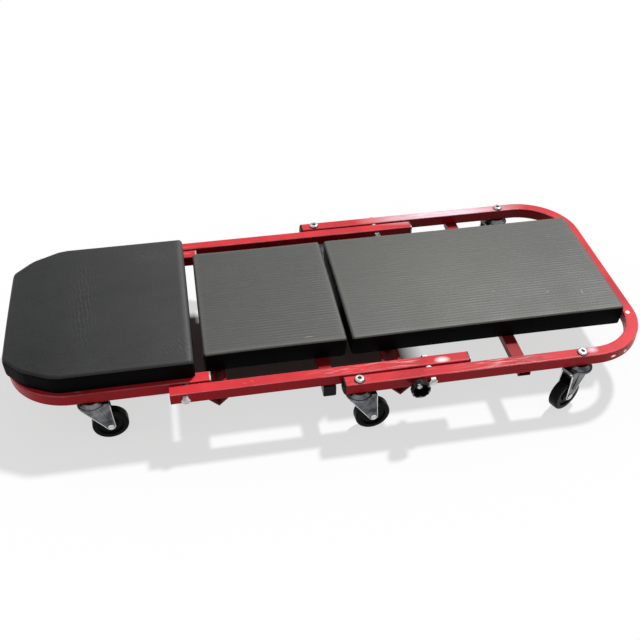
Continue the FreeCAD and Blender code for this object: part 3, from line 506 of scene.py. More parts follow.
# %% Zinc plate
def zinc_plate(name, dull, bright, gloss, cloud):
    """A metal whose tone and roughness drift together, with brushed lines, darker rubbed spots and
    painted shade on the faces that look down."""
    finish, tree, bsdf, place = start_finish(name)
    drift = effect(tree, "tone_drift", place, Scale=cloud)
    scuff = effect(tree, "handling_scuffs", place, Scale=300.0, Coverage=0.45)
    colour = shade(tree, drift, dull, bright)
    colour = over(tree, scuff, colour, tuple(0.5 * c for c in dull))
    # Painted shade: dark grey on the faces that look down.
    painted_shade = ramp(tree, normal_axes(tree)[2], -0.15, -0.75, 0.0, 0.75)
    colour = over(tree, painted_shade, colour, (0.06, 0.06, 0.06))
    brushed = stretched(tree, place, (1.0, 1.0, 0.08))
    lines = effect(tree, "fine_relief", brushed, Scale=900.0, Cells=0.0)
    wire(tree, bsdf, colour, span(tree, drift, *gloss), lines, 0.0002, 0.12)
    bsdf["Metallic"].default_value = 1.0
    return finish


# %% Moulded plastics
def moulded_plastic(name, dark, dusty, gloss, shine, glints=()):
    """Black moulding: dust in the drift, a fine spark-eroded texture, roughness between two limits,
    and painted glints where they are given."""
    finish, tree, bsdf, place = start_finish(name)
    drift = effect(tree, "tone_drift", place, Scale=30.0)
    scuff = effect(tree, "handling_scuffs", place, Scale=220.0, Coverage=0.40)
    colour = shade(tree, drift, dark, dusty)
    colour = over(tree, scuff, colour, (0.05, 0.05, 0.049))
    # Painted glints: pale spots where they are given.
    if glints:
        colour = over(tree, patches_of(tree, place, glints), colour, (0.75, 0.75, 0.73))
    spark = effect(tree, "fine_relief", place, Scale=1500.0, Cells=0.2)
    wire(tree, bsdf, colour, span(tree, drift, *gloss), spark, 0.0002, 0.20)
    bsdf["Specular IOR Level"].default_value = shine
    return finish


# %% Plywood under the pads
def plywood_board():
    """Long grain along X: noise stretched fifteen times along the board, in two browns."""
    finish, tree, bsdf, place = start_finish("plywood_board")
    along = stretched(tree, place, (1.0, 15.0, 40.0))
    grain = effect(tree, "tone_drift", along, Scale=9.0)
    colour = shade(tree, grain, (0.24, 0.14, 0.07), (0.46, 0.31, 0.17))
    wire(tree, bsdf, colour, span(tree, grain, 0.62, 0.78), grain, 0.0003, 0.3)
    return finish


# %% Pad vinyls
def creases(tree, place, oval, lie, pitch, sway):
    """Fine creases side by side: the crests of a sine across their lie, swayed by noise, broken into
    short lengths by more noise and kept inside a soft oval."""
    across = vectors(tree, "DOT_PRODUCT", place, lie, result="Value")
    phase = times(tree, across, 2 * math.pi / pitch)
    swayed = combine(tree, "MULTIPLY_ADD", noise(tree, place, 70.0, 2.0), sway, phase)
    crest = ramp(tree, combine(tree, "SINE", swayed), 0.2, 1.0)
    length = ramp(tree, noise(tree, place, 95.0, 1.0), 0.37, 0.51)
    return times(tree, times(tree, crest, length), patches_of(tree, place, [oval]))


def pad_vinyl(name, dark, light, gloss, pebble, shine, painted_sheen_along_x=None, folds=(), nicks=(), paler=()):
    """Vinyl-coated cloth: a pebbled grain and a speckled, drifting tone. It turns paler between two
    places along X, a painted sheen; it is paler in the given ovals, carries a painted highlight at
    the edges as the attribute says, and has worn creases and nicks."""
    finish, tree, bsdf, place = start_finish(name)
    drift = effect(tree, "tone_drift", place, Scale=12.0)
    speck = effect(tree, "tone_drift", place, Scale=260.0)
    cloud = effect(tree, "tone_drift", place, Scale=46.0)
    tone = add(tree, "Mix", {0: 0.5, 2: drift, 3: cloud}).outputs[0]
    tone = add(tree, "Mix", {0: 0.45, 2: tone, 3: speck}).outputs[0]
    # Painted sheen: paler between two places along X.
    if painted_sheen_along_x:
        start, stop, share = painted_sheen_along_x
        painted_sheen = ramp(tree, axes(tree, place)[0], start, stop, 0.0, share)
        tone = combine(tree, "MULTIPLY_ADD", tone, 1 - share, painted_sheen)
    colour = shade(tree, tone, dark, light)
    lighter = tuple(2.1 * c for c in light)
    # Paler in the given ovals.
    if paler:
        colour = over(tree, span(tree, patches_of(tree, place, paler), 0.0, 0.40), colour, lighter)
    # Painted highlight along the rounded edges, from a point attribute.
    painted_highlight = add(tree, "Attribute", attribute_name="edge_wear").outputs["Fac"]
    colour = over(tree, painted_highlight, colour, lighter)
    height = effect(tree, "fine_relief", place, Scale=pebble, Cells=0.8)
    for fold in folds:
        crease = creases(tree, place, *fold)
        colour = over(tree, span(tree, crease, 0.0, 0.50), colour, tuple(1.3 * c for c in light))
        height = combine(tree, "MULTIPLY_ADD", crease, 1.2, height)
    if nicks:
        colour = over(tree, patches_of(tree, place, nicks), colour, (0.30, 0.30, 0.26))
    wire(tree, bsdf, colour, span(tree, drift, *gloss), height, 0.0005, 0.35)
    bsdf["Specular IOR Level"].default_value = shine
    return finish


# %% Put the finishes on the frame
HEAD_FOLDS = [
    (((-0.386, 0.005, 0.137), (0.030, 0.140, 0.05), 0.1), (1.0, 0.10, 0.0), 0.0062, 10.0),
    (((-0.236, -0.122, 0.137), (0.044, 0.036, 0.05), 0.3), (0.85, 0.52, 0.0), 0.0058, 16.0),
    (((-0.275, 0.118, 0.137), (0.060, 0.036, 0.05), 0.0), (0.80, -0.60, 0.0), 0.0064, 14.0),
]
TOP_NICKS = [
    ((0.425, -0.084, 0.124), (0.0011, 0.0065, 0.02), 0.3),
    ((0.3685, -0.074, 0.124), (0.0030, 0.0010, 0.02), 0.3),
    ((0.280, -0.059, 0.124), (0.0022, 0.0010, 0.02), 0.3),
    ((-0.040, -0.117, 0.124), (0.0100, 0.0008, 0.02), 0.2),
]
# Paler in a broad oval over the middle of the tail pad.
PALE_MIDDLE = [((0.22, 0.0, 0.124), (0.25, 0.30, 0.1), 0.15)]
MOULDING = ((0.004, 0.004, 0.004), (0.008, 0.008, 0.008), (0.28, 0.40), 0.12)
WHEEL = ((0.003, 0.003, 0.003), (0.008, 0.008, 0.007), (0.30, 0.42), 0.07)
RIBBED_TONES = ((0.013, 0.0133, 0.0108), (0.046, 0.0467, 0.0385), (0.46, 0.54))
GRAINED_TONES = ((0.001, 0.0014, 0.0020), (0.041, 0.0413, 0.0405), (0.42, 0.54))
SIDE_TONES = ((0.002, 0.002, 0.002), (0.004, 0.004, 0.004), (0.55, 0.65))
FINISHES = {
    "red_paint": red_powder_coat(),
    "zinc": zinc_plate("bright_zinc", (0.25, 0.25, 0.247), (0.68, 0.68, 0.67), (0.20, 0.32), 140.0),
    "black_plastic": moulded_plastic("black_moulding", *MOULDING),
    "wheel_plastic": moulded_plastic("wheel_moulding", *WHEEL),
    "plywood": plywood_board(),
    "ribbed_vinyl": pad_vinyl("ribbed_vinyl_top", *RIBBED_TONES, 900.0, 0.5,
                              painted_sheen_along_x=(-0.25, 0.10, 0.42), nicks=TOP_NICKS, paler=PALE_MIDDLE),
    "grained_vinyl": pad_vinyl("grained_vinyl_top", *GRAINED_TONES, 700.0, 0.22,
                               painted_sheen_along_x=(-0.46, -0.20, 0.70), folds=HEAD_FOLDS),
}
STAMPED_ZINC = zinc_plate("stamped_zinc", (0.045, 0.048, 0.053), (0.23, 0.236, 0.245),
                          (0.18, 0.34), 60.0)
# Brighter zinc for axle rims and fork edges: cut metal, and partly a painted highlight.
CUT_AND_HIGHLIGHT_ZINC = zinc_plate("cut_zinc", (0.58, 0.58, 0.57), (0.84, 0.84, 0.83), (0.20, 0.30), 90.0)
PAD_SIDE = pad_vinyl("pad_side_vinyl", *SIDE_TONES, 900.0, 0.03)
# Painted glints: pale spots on the knob's rim, at its lobes.
LIP_RADIUS, LIP_ANGLES, LIP_GLINT = 0.0139, [108, 32, -16, -90, -160], (0.0030, 0.0018, 0.0030)
knob_low, knob_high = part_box("lock_knob")
knob_x, knob_z = (knob_low.x + knob_high.x) / 2, (knob_low.z + knob_high.z) / 2
LIP_GLINTS = [((knob_x + LIP_RADIUS * math.cos(a), knob_low.y, knob_z + LIP_RADIUS * math.sin(a)),
              LIP_GLINT, 0.3) for a in np.radians(LIP_ANGLES)]
KNOB = moulded_plastic("knob_moulding", *MOULDING, LIP_GLINTS)
for node, part in frame["nodes"].items():
    stamped = node.endswith(("_fork", "_cups", "_races"))
    part.material_slots[0].material = STAMPED_ZINC if stamped else FINISHES[slot_of[node]]
frame["nodes"]["lock_knob"].material_slots[0].material = KNOB
print("finishes", sorted(FINISHES))

# %% [markdown]
# ## Stuffed pads
# The tail and middle pads are foam on a board under ribbed vinyl. A pad could be a subdivided box,
# but then its ribs could not follow the cloth. So each pad is one grid: columns run round the
# section, from the underside up one side, over the top and down the other; rows run along the
# creeper, and the first and last rows close the ends. The same recipe at a coarse step gives the
# sheet that Blender's cloth inflates, and at a fine step the piece that is shown.


# %% Columns round a pad's section
def section_columns(pocket, hem, side, edge, top):
    """Each column has shares from 0 to 1: across the flat top, round the edge outwards, up the side,
    round the edge upwards, across the board's pocket and across the hem; then the side it is on (-1
    or 1), a flag for inside the pocket, and a station from 0 to 7. Half a section is mirrored."""
    tuck, fold, up, turn = (np.linspace(0, 1, n, endpoint=False) for n in (pocket, hem, side, edge))
    inward = np.linspace(0, 1, top // 2 + 1)
    tuck = np.append(tuck, 1.0)
    angle = turn * math.pi / 2

    def run(*values):
        """One value for each column of the pocket, the hem, the side, the edge and the top."""
        parts = zip(values, (tuck, fold, up, turn, inward))
        return np.concatenate([value + 0 * part for value, part in parts])

    half = np.stack([
        run(1, 1, 1, 1, 1 - inward),
        run(1, 1, 1, np.cos(angle), 0),
        run(0, 0, up, 1, 1),
        run(0, 0, 0, np.sin(angle), 1),
        run(tuck, 1, 1, 1, 1),
        run(0, fold, 1, 1, 1),
        run(1, 1, 1, 1, 1),
        run(1, 0, 0, 0, 0),
        run(0.8 * tuck, 0.85 + 0.15 * fold, 1 + up, 2 + turn, 3 + inward / 2),
    ])
    other = half[:, 1:-1][:, ::-1].copy()
    other[6], other[8] = -1, 7 - other[8]
    names = ("across", "outward", "rise", "over", "tuck", "hem", "sign", "inside", "station")
    return dict(zip(names, np.concatenate([half, other], axis=1)))


# %% Rows along a pad
BOARD_WALL = np.array((0.0054, 0.0058))
ROW_GAP, HEM_LEAST = 0.0024, 0.0002


def pad_rows(low, high, corner, close, bend, length):
    """Each row has a station from 0 to 5, its place along X, a share that closes the end wall, and
    the distance to the nearer end. The rounded corners get rows at equal angles, and two rows stand
    close together at each end of the pocket that the board fills."""
    shut = np.linspace(0.15, 1, close, endpoint=False)
    curve = 1 - np.cos(np.linspace(0, math.pi / 2, bend, endpoint=False))
    start, stop = corner + ROW_GAP, high - low - corner - ROW_GAP
    flat = np.linspace(start, stop, length)
    middle = low + np.concatenate([BOARD_WALL, flat, high - low - BOARD_WALL[::-1]])
    x = np.concatenate([np.full(close, low), low + corner * curve, middle,
                        (high - corner * curve)[::-1], np.full(close, high)])
    share = np.concatenate([shut, np.ones(2 * bend + len(middle)), shut[::-1]])
    steps = [np.linspace(0, 1, n, endpoint=False) for n in (close, bend)]
    part = (middle - middle[0]) / (middle[-1] - middle[0])
    station = np.concatenate([steps[0], 1 + steps[1], 2 + part,
                              (4 - steps[1])[::-1], (5 - steps[0])[::-1]])
    return {"station": station, "x": x, "share": share, "inside": np.minimum(x - low, high - x)}


# %% Wrap the section round the rows
def pad_surface(rows, columns, shape):
    """Across: half-width less the edge radius, times the share, plus the edge's own arc, less the
    undercut low on the side; below, out over the pocket and then the hem. Up: the side's height,
    the edge's arc and a crown on the flat top; below, the pocket is as deep as the board."""
    x, share, inside = (rows[key][:, None] for key in ("x", "share", "inside"))
    across, outward, rise = (columns[key] for key in ("across", "outward", "rise"))
    over_edge = columns["over"]
    edge, side, crown = shape["edge"], shape["side"], shape["crown"]
    width = shape["half_width"](x, inside)
    pocket = np.minimum(shape["pocket"](x), width - shape["undercut"] - HEM_LEAST)
    drop = edge * (1 - np.sqrt(1 - (1 - np.clip(inside / edge, 0, 1)) ** 2))
    above = (width - edge) * across + edge * outward - shape["undercut"] * (1 - rise) ** 2
    below = pocket * columns["tuck"] + (width - shape["undercut"] - pocket) * columns["hem"]
    y = columns["sign"] * np.where(columns["hem"] < 1, below, above)
    z = (side - edge - drop) * rise + edge * over_edge + crown * (over_edge >= 1) * (1 - across ** 2)
    z = z + shape["board"] * columns["inside"] * (inside > BOARD_WALL.sum() / 2)
    middle = side / 2
    points = np.stack([x + 0 * y, y * share, middle + (z - middle) * share], axis=-1)
    outside = np.sign(x - x.mean()) * (share < 1)
    points[..., 0] += outside * shape["end_bulge"] * (1 - share ** 2)
    points[..., 2] += shape["floor"]
    return points


# %% [markdown]
# ## Inflating the cover
# A real cover is stretched over foam and stapled under the board, so it swells between its edges.
# Blender's cloth shows how: the coarse sheet is held along its underside and pumped up with no
# gravity. Only the movement is kept, up to a millimetre and a half, and spread over the fine grid
# with cubic B-spline weights, so the shown surface stays smooth.


# %% Let the cloth swell and read back how far it moved
CLOTH_FRAMES, CLOTH_PRESSURE, CLOTH_BENDING = 20, 4.0, 2.0
TAUT, TOP_REACH, SIDE_SWELL, SWELL_LIMIT = 0.022, 0.13, 0.4, 0.0015
PLAN_CORNER, PAD_CLEAR = 0.005, 0.0003


def cloth_swell(name, grid, held):
    """The movement of each grid point after the cloth has been inflated, never past the limit."""
    sheet = joined(name, [grid])
    rows, columns = grid.shape[:2]
    pins = sheet.vertex_groups.new(name="held")
    pins.add(np.flatnonzero(np.broadcast_to(held, (rows, columns)).ravel()).tolist(), 1.0, "REPLACE")
    cloth = sheet.modifiers.new("cloth", "CLOTH")
    cloth.settings.use_pressure = True
    cloth.settings.uniform_pressure_force = CLOTH_PRESSURE
    cloth.settings.vertex_group_mass = "held"
    cloth.settings.effector_weights.gravity = 0.0
    cloth.settings.bending_stiffness = CLOTH_BENDING
    cloth.point_cache.frame_end = CLOTH_FRAMES
    for tick in range(1, CLOTH_FRAMES + 1):
        scene.frame_set(tick)
    settled = sheet.evaluated_get(bpy.context.evaluated_depsgraph_get()).data
    place = np.empty(len(settled.vertices) * 3)
    settled.vertices.foreach_get("co", place)
    moved = place.reshape(-1, 3)[:rows * columns].reshape(grid.shape) - grid
    bpy.data.objects.remove(sheet)
    scene.frame_set(1)
    far = np.linalg.norm(moved, axis=-1, keepdims=True)
    return moved * np.minimum(1, SWELL_LIMIT / np.maximum(far, 1e-9))


def spline_weights(fine, coarse, loop):
    """Cubic B-spline weights of the coarse stations at each fine one, as a matrix."""
    count = len(coarse)
    index = np.interp(fine, coarse, np.arange(count))
    base = np.floor(index).astype(int)
    t = index - base
    parts = [(1 - t) ** 3, 3 * t ** 3 - 6 * t ** 2 + 4, -3 * t ** 3 + 3 * t ** 2 + 3 * t + 1, t ** 3]
    weights = np.zeros((len(fine), count))
    for step, part in enumerate(parts):
        at = base - 1 + step
        at = at % count if loop else np.clip(at, 0, count - 1)
        np.add.at(weights, (np.arange(len(fine)), at), part / 6)
    return weights


def swollen(name, low, high, steps, rounds, shape):
    """The fine surface of a pad, moved as its coarse cloth moved: less and less towards the ends and
    the long edges of the top, and by a share that grows up the sides. Steps along the pad and rounds
    of its section are each given for the fine grid and for the coarse one."""
    ends = low.x + PAD_CLEAR, high.x - PAD_CLEAR, PLAN_CORNER
    fine_rows, rows = (pad_rows(*ends, *step) for step in steps)
    fine_columns, columns = (section_columns(*parts) for parts in rounds)
    surface = pad_surface(fine_rows, fine_columns, shape)
    coarse = pad_surface(rows, columns, shape)
    moved = cloth_swell(name, coarse, columns["rise"] == 0)
    along = spline_weights(fine_rows["station"], rows["station"], False)
    round_it = spline_weights(fine_columns["station"], columns["station"], True)
    shift = np.einsum("ai,ijk,bj->abk", along, moved, round_it)
    from_end = np.clip(fine_rows["inside"] / TAUT, 0, 1)[:, None, None]
    from_edge = np.clip((1 - fine_columns["across"]) * TOP_REACH / TAUT, 0, 1)
    rise = fine_columns["rise"]
    shift = shift * from_end * np.where(rise < 1, rise * SIDE_SWELL, from_edge)[:, None]
    print(name, "swelled by", round(float(np.abs(shift).max()) * 1000, 2), "mm")
    return surface + shift, fine_rows, fine_columns


# %% [markdown]
# ## Tail and middle pads
# Their vinyl has fine ribs that run along the creeper, a little uneven, as embossed cloth is. The
# ribs are real height on the grid, about a fifth of a millimetre, and they fade out at the rounded
# edges, where the vinyl is pulled tight. The sides are plain black cloth without a shine.

# %% Shape the ribbed pads
RIB_PITCH = 0.00635
RIBBED = {"edge": 0.004, "crown": 0.0015, "undercut": 0.003, "end_bulge": 0.0006, "board": 0.0078,
          "pocket": lambda x: 0.1264 + 0 * x}
WAIST, CROWN_ROOM = 0.001, 0.003
RIB_FADE_SIDE, RIB_FADE_END = 0.03, 0.008
# Width of the painted highlight along the pads' edges.
HIGHLIGHT_WIDTH, NO_HIGHLIGHT, SIDE_ENDS = 0.0035, 9.0, 0.55


def ribbed_half_width(half, share, inside):
    """Straight sides that draw in halfway along, with a quarter circle at each corner."""
    corner = PLAN_CORNER * (1 - np.sqrt(1 - (1 - np.clip(inside / PLAN_CORNER, 0, 1)) ** 2))
    return half - WAIST * (1 - (2 * share - 1) ** 2) - corner


def ribs(x, y, height):
    """Rounded ridges across Y whose line wanders by a fifth of a millimetre along X; each rib comes
    and goes in height along its length."""
    wander = 0.00013 * np.sin(x * 31 + 3 * np.sin(y * 23)) + 0.00007 * np.sin(x * 97 + y * 57)
    wave = np.cos(2 * math.pi * (y + wander) / RIB_PITCH)
    return height * (0.5 + 0.5 * wave) * (0.65 + 0.35 * np.sin(x * 53 + 7 * np.sin(y * 211)))


def ribbed_pad(name, node, body, length_rows, rib_height):
    """The swollen surface of one straight pad, lifted by its ribs on the flat top."""
    low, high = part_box(node)
    half, length = (high.y - low.y) / 2 - PAD_CLEAR, high.x - low.x
    shape = dict(RIBBED, floor=low.z, side=high.z - low.z - CROWN_ROOM,
                 half_width=lambda x, inside: ribbed_half_width(half, (x - low.x) / length, inside))
    steps = (8, 8, length_rows), (4, 3, length_rows // 3)
    rounds = (6, 2, 12, 8, 440), (5, 1, 6, 3, 40)
    surface, rows, columns = swollen(name + "_cloth", low, high, steps, rounds, shape)
    fade = np.clip((1 - columns["across"]) / RIB_FADE_SIDE, 0, 1)
    fade = fade * np.clip(rows["inside"][:, None] / RIB_FADE_END, 0, 1)
    x, y = surface[..., 0], surface[..., 1]
    surface[..., 2] += (columns["over"] >= 1) * fade * ribs(x, y, rib_height)
    pad = joined(name, [surface], sharp=60)
    finish_pad(pad, columns, rows, "ribbed_vinyl", RIBBED["edge"], (0.35, 0.35, 0.35))
    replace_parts(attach(pad, body), node)
    return pad


def edge_wear(columns, rows, edge, paler):
    """How much painted highlight each point carries: a bell curve of its distance from where the
    edge starts to turn, none on the sides. The long edges, the head end and the tail end have
    heights of their own."""
    from_side = (1 - columns["across"]) * TOP_REACH / HIGHLIGHT_WIDTH
    from_end = np.abs(rows["inside"] - edge)[:, None] / HIGHLIGHT_WIDTH
    long_way = np.where(columns["rise"] < 1, NO_HIGHLIGHT, from_side)
    end_way = np.where(columns["over"] >= 1, from_end, NO_HIGHLIGHT)
    at_tail = (rows["x"] > rows["x"].mean())[:, None]
    ends = np.where(at_tail, paler[2], paler[1]) * np.exp(-end_way ** 2)
    return np.maximum(paler[0] * np.exp(-long_way ** 2), ends)


def finish_pad(pad, columns, rows, slot, edge, paler):
    """Vinyl on the top and its rounded edges, the dark side cloth on the faces below them."""
    pad.data.materials.append(FINISHES[slot])
    pad.data.materials.append(PAD_SIDE)
    shut = np.minimum(rows["share"][:-1], rows["share"][1:]) < 1
    below = (columns["over"] < SIDE_ENDS) | shut[:, None]
    choice = np.ones(len(pad.data.polygons), np.int32)
    choice[:below.size] = below.ravel()
    pad.data.polygons.foreach_set("material_index", choice)
    # A painted highlight along the rounded edges, kept as a point attribute.
    lighter = np.append(edge_wear(columns, rows, edge, paler).ravel(), [0, 0])
    pad.data.attributes.new("edge_wear", "FLOAT", "POINT").data.foreach_set("value", lighter)


tail_cushion = ribbed_pad("tail_cushion", "tail_pad", "tail", 84, 0.00015)
mid_cushion = ribbed_pad("mid_cushion", "mid_pad", "mid", 42, 0.00022)
print("ribbed pads", len(tail_cushion.data.polygons), len(mid_cushion.data.polygons), "faces")

# %% [markdown]
# ## Head pad
# The pillow is thicker and wraps its own board, and its front corners are cut off in two steps, so
# its half-width is a broken line from the nose backwards. It is the same grid as the other pads
# with another half-width. Its vinyl is pebbled, and the creases from use are in the finish: they
# are finer than any mesh that is worth having here.

# %% Shape the head pad
HEAD_NOSE = [0.0, 0.003, 0.026, 0.034, 0.072, 0.086, 0.30]
HEAD_HALF = [0.1020, 0.1075, 0.1318, 0.1385, 0.1570, 0.1597, 0.1597]
HEAD_BOARD = ([0.006, 0.076], [0.1072, 0.1555])
REAR_CORNER = 0.006

low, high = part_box("head_pad")


def rear_corner(x):
    """How far a quarter circle draws in the two rear corners, in plan."""
    short = 1 - np.clip((high.x - PAD_CLEAR - x) / REAR_CORNER, 0, 1)
    return REAR_CORNER * (1 - np.sqrt(1 - short ** 2))


HEAD = {"edge": 0.006, "crown": 0.0018, "undercut": 0.0015, "end_bulge": 0.0006, "board": 0.0052,
        "floor": low.z, "side": high.z - low.z - CROWN_ROOM,
        "pocket": lambda x: np.interp(x - low.x, *HEAD_BOARD),
        "half_width": lambda x, inside: np.interp(x - low.x, HEAD_NOSE, HEAD_HALF) - rear_corner(x)}
HEAD_STEPS = (8, 10, 150), (4, 4, 30)
HEAD_ROUNDS = (6, 2, 14, 10, 190), (5, 1, 6, 4, 44)

surface, rows, columns = swollen("head_cloth", low, high, HEAD_STEPS, HEAD_ROUNDS, HEAD)
head_cushion = joined("head_cushion", [surface], sharp=60)
# The head pad's painted highlight lies mostly along its rear end.
finish_pad(head_cushion, columns, rows, "grained_vinyl", HEAD["edge"], (0.04, 0.04, 0.85))
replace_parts(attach(head_cushion, "head"), "head_pad")
print("head pad", len(head_cushion.data.polygons), "faces")

# %% [markdown]
# ## Bolts and axles
# Close up, a caster shows a dished axle with a bright rolled rim, partly a painted highlight, and
# the button-head bolts on the rails have black discs in their sockets and black rings round their
# seats, painted shade. All are turned shapes: a profile of radii and heights carried round an
# axis. The joints say where every axle is and which way it points.


# %% Turn a profile round an axis
def turned(profile, centre, axis, count=28):
    """Each profile point (radius, height) becomes a circle: centre, plus height along the axis, plus
    radius times cosine and sine along two directions square to it."""
    along = np.array(axis, float)
    side = np.cross(along, [0.0, 0.0, 1.0] if abs(along[2]) < 0.9 else [1.0, 0.0, 0.0])
    side /= np.linalg.norm(side)
    third = np.cross(along, side)
    radius, height = np.array(profile).T[:, :, None]
    angle = np.linspace(0, 2 * math.pi, count, endpoint=False)[None, :, None]
    sweep = np.cos(angle) * side + np.sin(angle) * third
    return np.array(centre) + height[..., None] * along + radius[..., None] * sweep


# %% Roll the rims of the axles and lay painted shade in and round the bolts' sockets
AXLE_FACE, SOCKET_DEEP = 0.0127, 0.0011
AXLE_RIM = [(0.0047, -0.0002), (0.0047, 0.0001), (0.0043, 0.0004),
            (0.0035, 0.0005), (0.0028, 0.0003), (0.0025, 0.0001)]
SOCKET_SHADE = [(0.0029, 0.0), (0.0029, 0.0003), (0.0014, 0.0001)]
SEAT_SHADE = [(0.0079, -0.0003), (0.0079, 0.0004), (0.0084, 0.0004),
             (0.0088, 0.0001), (0.0085, -0.0003)]


def on_rails(profile, z):
    """A profile turned about each tail caster's swivel axis, at one height."""
    return [turned(profile, (*joint["pos_m"][:2], z), (0, 0, 1)) for joint in swivels]


spins = [joint for joint in frame["joints"] if joint["name"].endswith("_spin")]
for joint in spins:
    middle, axis = np.array(joint["pos_m"]), np.array(joint["axis"])
    ends = [turned(AXLE_RIM, middle + side * AXLE_FACE * axis, side * axis) for side in (-1, 1)]
    rim = joined(joint["name"].replace("_spin", "_axle_rims"), ends, CUT_AND_HIGHLIGHT_ZINC)
    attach(rim, joint["parent"])

swivels = [joint for joint in frame["joints"]
           if joint["name"].endswith("_swivel") and joint["parent"] == "tail"]
socket_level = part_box("tail_caster_bolts")[1].z - SOCKET_DEEP
rail_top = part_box("tail_frame")[1].z
BLACK = FINISHES["black_plastic"]
# Black discs in the sockets and black rings round the seats: painted shade.
socket_shade = joined("bolt_socket_dirt", on_rails(SOCKET_SHADE, socket_level), BLACK)
seats = joined("bolt_seat_dirt", on_rails(SEAT_SHADE, rail_top), BLACK, ring=True)
for piece in (socket_shade, seats):
    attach(piece, "tail")
print("axle rims", len(spins), "sockets", len(swivels))

# %% [markdown]
# ## Sheared edges of the forks
# Each caster fork is stamped from sheet, and the edge of its legs is brighter than the dull faces:
# partly cut metal, partly a painted highlight where the rolled edge catches the light. A thin
# ribbon along that edge shows it: its line goes from the plate's front down to the eye of the
# axle, round it and up again. A flat oval carried along the line gives the ribbon.

# %% Carry an oval along the edge of each leg
TRAIL, LEG_MIDDLE, EYE_HIGH, EYE_RADIUS = 0.022, 0.0105, 0.028, 0.0065
LEG_HEEL, LEG_REAR = (-0.016, 0.0721), (0.026, 0.0735)
EDGE_DEEP, EDGE_WIDE = 0.0009, 0.00135


def leg_edge():
    """Points (along the trail, height): from the heel straight to the eye's tangent, an arc below
    the eye, and up to the rear."""
    run = np.array([TRAIL - LEG_HEEL[0], EYE_HIGH - LEG_HEEL[1]])
    lowest = math.atan2(-run[0], run[1])
    angle = np.linspace(lowest, 0, 14)
    arc = np.stack([np.cos(angle), np.sin(angle)], axis=-1)
    eye = np.array([TRAIL, EYE_HIGH]) + EYE_RADIUS * arc
    down = np.linspace(LEG_HEEL, eye[0], 10, endpoint=False)
    up = np.linspace(eye[-1], LEG_REAR, 10)[1:]
    return np.concatenate([down, eye, up])


def ribbon(line, side, foot, ahead):
    """An oval on each point of the line, square to it: cosine times its width across the leg, sine
    times its depth along the leg's face."""
    step = np.gradient(line, axis=0)
    step /= np.linalg.norm(step, axis=1, keepdims=True)
    out = np.stack([step[:, 1], -step[:, 0]], axis=-1)
    angle = np.linspace(0, 2 * math.pi, 10, endpoint=False)
    flat = line[:, None] + EDGE_DEEP * np.sin(angle)[None, :, None] * out[:, None]
    across = side * LEG_MIDDLE + EDGE_WIDE * np.cos(angle)[None, :] + 0 * flat[..., 0]
    beside = np.array([-ahead[1], ahead[0]])
    plan = np.array(foot)[:2] + flat[..., :1] * ahead + across[..., None] * beside
    return np.concatenate([plan, flat[..., 1:]], axis=-1)


for joint in spins:
    name = joint["name"].replace("_spin", "")
    ahead = np.array([joint["axis"][1], -joint["axis"][0]])
    foot = np.array(joint["pos_m"])[:2] - TRAIL * ahead
    legs = [ribbon(leg_edge(), side, foot, ahead) for side in (-1, 1)]
    edges = joined(name + "_fork_edges", legs, CUT_AND_HIGHLIGHT_ZINC, sharp=50)
    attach(edges, joint["parent"])
print("fork edges", len(spins))

# %% [markdown]
# ## Bare tube ends and welds
# Paint is thin where a tube was cut, and a silver collar shows at the open ends. A rounded square
# carried along the tube makes it. Cross members are welded under the rails: a bead is a round bar
# whose radius ripples along its length, half sunk in the corner between the two tubes.


# %% Bare collars on the open tube ends
def square_loop(half, corner, count=5):
    """A closed loop (across, up): four quarter circles of the corner radius and straight sides."""
    quarter = np.linspace(0, math.pi / 2, count)
    turns = (quarter + np.arange(4)[:, None] * math.pi / 2).ravel()
    signs = np.array([[1, 1], [-1, 1], [-1, -1], [1, -1]])
    centres = np.repeat((half - corner) * signs, count, axis=0)
    return centres + corner * np.stack([np.cos(turns), np.sin(turns)], axis=-1)


TUBE_HALF = 0.01
COLLAR = [(0.0022, 0.01001, 0.0025), (0.0019, 0.01010, 0.0026), (-0.0002, 0.01008, 0.0026),
          (-0.0002, 0.00845, 0.0006), (0.0008, 0.00842, 0.0006)]


def collar(end, y, z):
    """Five loops, each so far back from the end: feathered edge, outside, rim, inside of the rim
    and inside of the tube."""
    return np.stack([np.insert(square_loop(half, corner) + (y, z), 0, end - back, axis=1)
                     for back, half, corner in COLLAR])


def bare_ends(name, body, end, y, finish):
    """Bare metal collars on both tubes of a body, as one piece."""
    collars = [collar(end, side * y, rail_z) for side in (-1, 1)]
    piece = joined(name, collars, finish, ring=True)
    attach(piece, body)


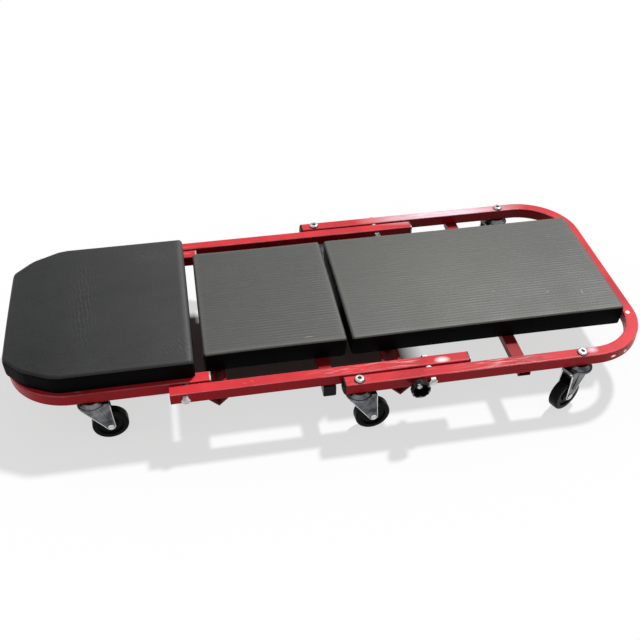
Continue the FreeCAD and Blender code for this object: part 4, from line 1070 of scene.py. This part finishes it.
rail_low, rail_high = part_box("mid_rail_near")
rail_y, rail_z = (rail_low.y + rail_high.y) / 2, (rail_low.z + rail_high.z) / 2
head_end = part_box("head_frame")[1]
bare_ends("mid_bare_ends", "mid", rail_high.x, rail_y, STAMPED_ZINC)
bare_ends("head_bare_ends", "head", head_end.x, head_end.y - TUBE_HALF, FINISHES["zinc"])
print("collars at", round(rail_high.x, 3), round(head_end.x, 3))


# %% Weld beads under the rails
BEAD_RADIUS, BEAD_PITCH, BEAD_RIPPLE, BEAD_STEP, BEAD_SINK = 0.0021, 0.0026, 0.13, 0.0005, 0.0005
WELDS = {
    "tail": [("tail_stop_bar", 0.197, 0.212), ("tail_cross_bar", 0.197, 0.208)],
    "mid": [("mid_stop_bar", 0.173, 0.188), ("mid_cross_tube", 0.173, 0.189)],
}


def bead(start, end):
    """A bar from start to end; its radius swells at each pitch and closes at both ends as a half
    circle."""
    start, end = np.array(start), np.array(end)
    length = np.linalg.norm(end - start)
    s = np.linspace(0, length, int(length / BEAD_STEP))
    inside = (1 - np.minimum(s, length - s) / BEAD_RADIUS).clip(0, 1)
    ends = np.sqrt(np.clip(1 - inside ** 2, 0.02, 1))
    size = BEAD_RADIUS * ends * (1 + BEAD_RIPPLE * np.cos(2 * math.pi * s / BEAD_PITCH))
    angle = np.linspace(0, 2 * math.pi, 12, endpoint=False)
    around = np.stack([np.cos(angle), 0 * angle, np.sin(angle)], axis=-1)
    line = start + (s / length)[:, None] * (end - start)
    return line[:, None] + size[:, None, None] * around


def bead_pairs(node, rail_inside, rail_outside):
    """Beads across both rails, along the two upper edges of a cross member."""
    low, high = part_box(node)
    z = high.z - BEAD_SINK
    return [bead((x, side * rail_inside, z), (x, side * rail_outside, z))
            for x in (low.x, high.x) for side in (-1, 1)]


for body, members in WELDS.items():
    beads = [one for member in members for one in bead_pairs(*member)]
    welds = joined(body + "_weld_beads", beads, FINISHES["red_paint"], sharp=60)
    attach(welds, body)
    print(body, "weld beads", len(beads))
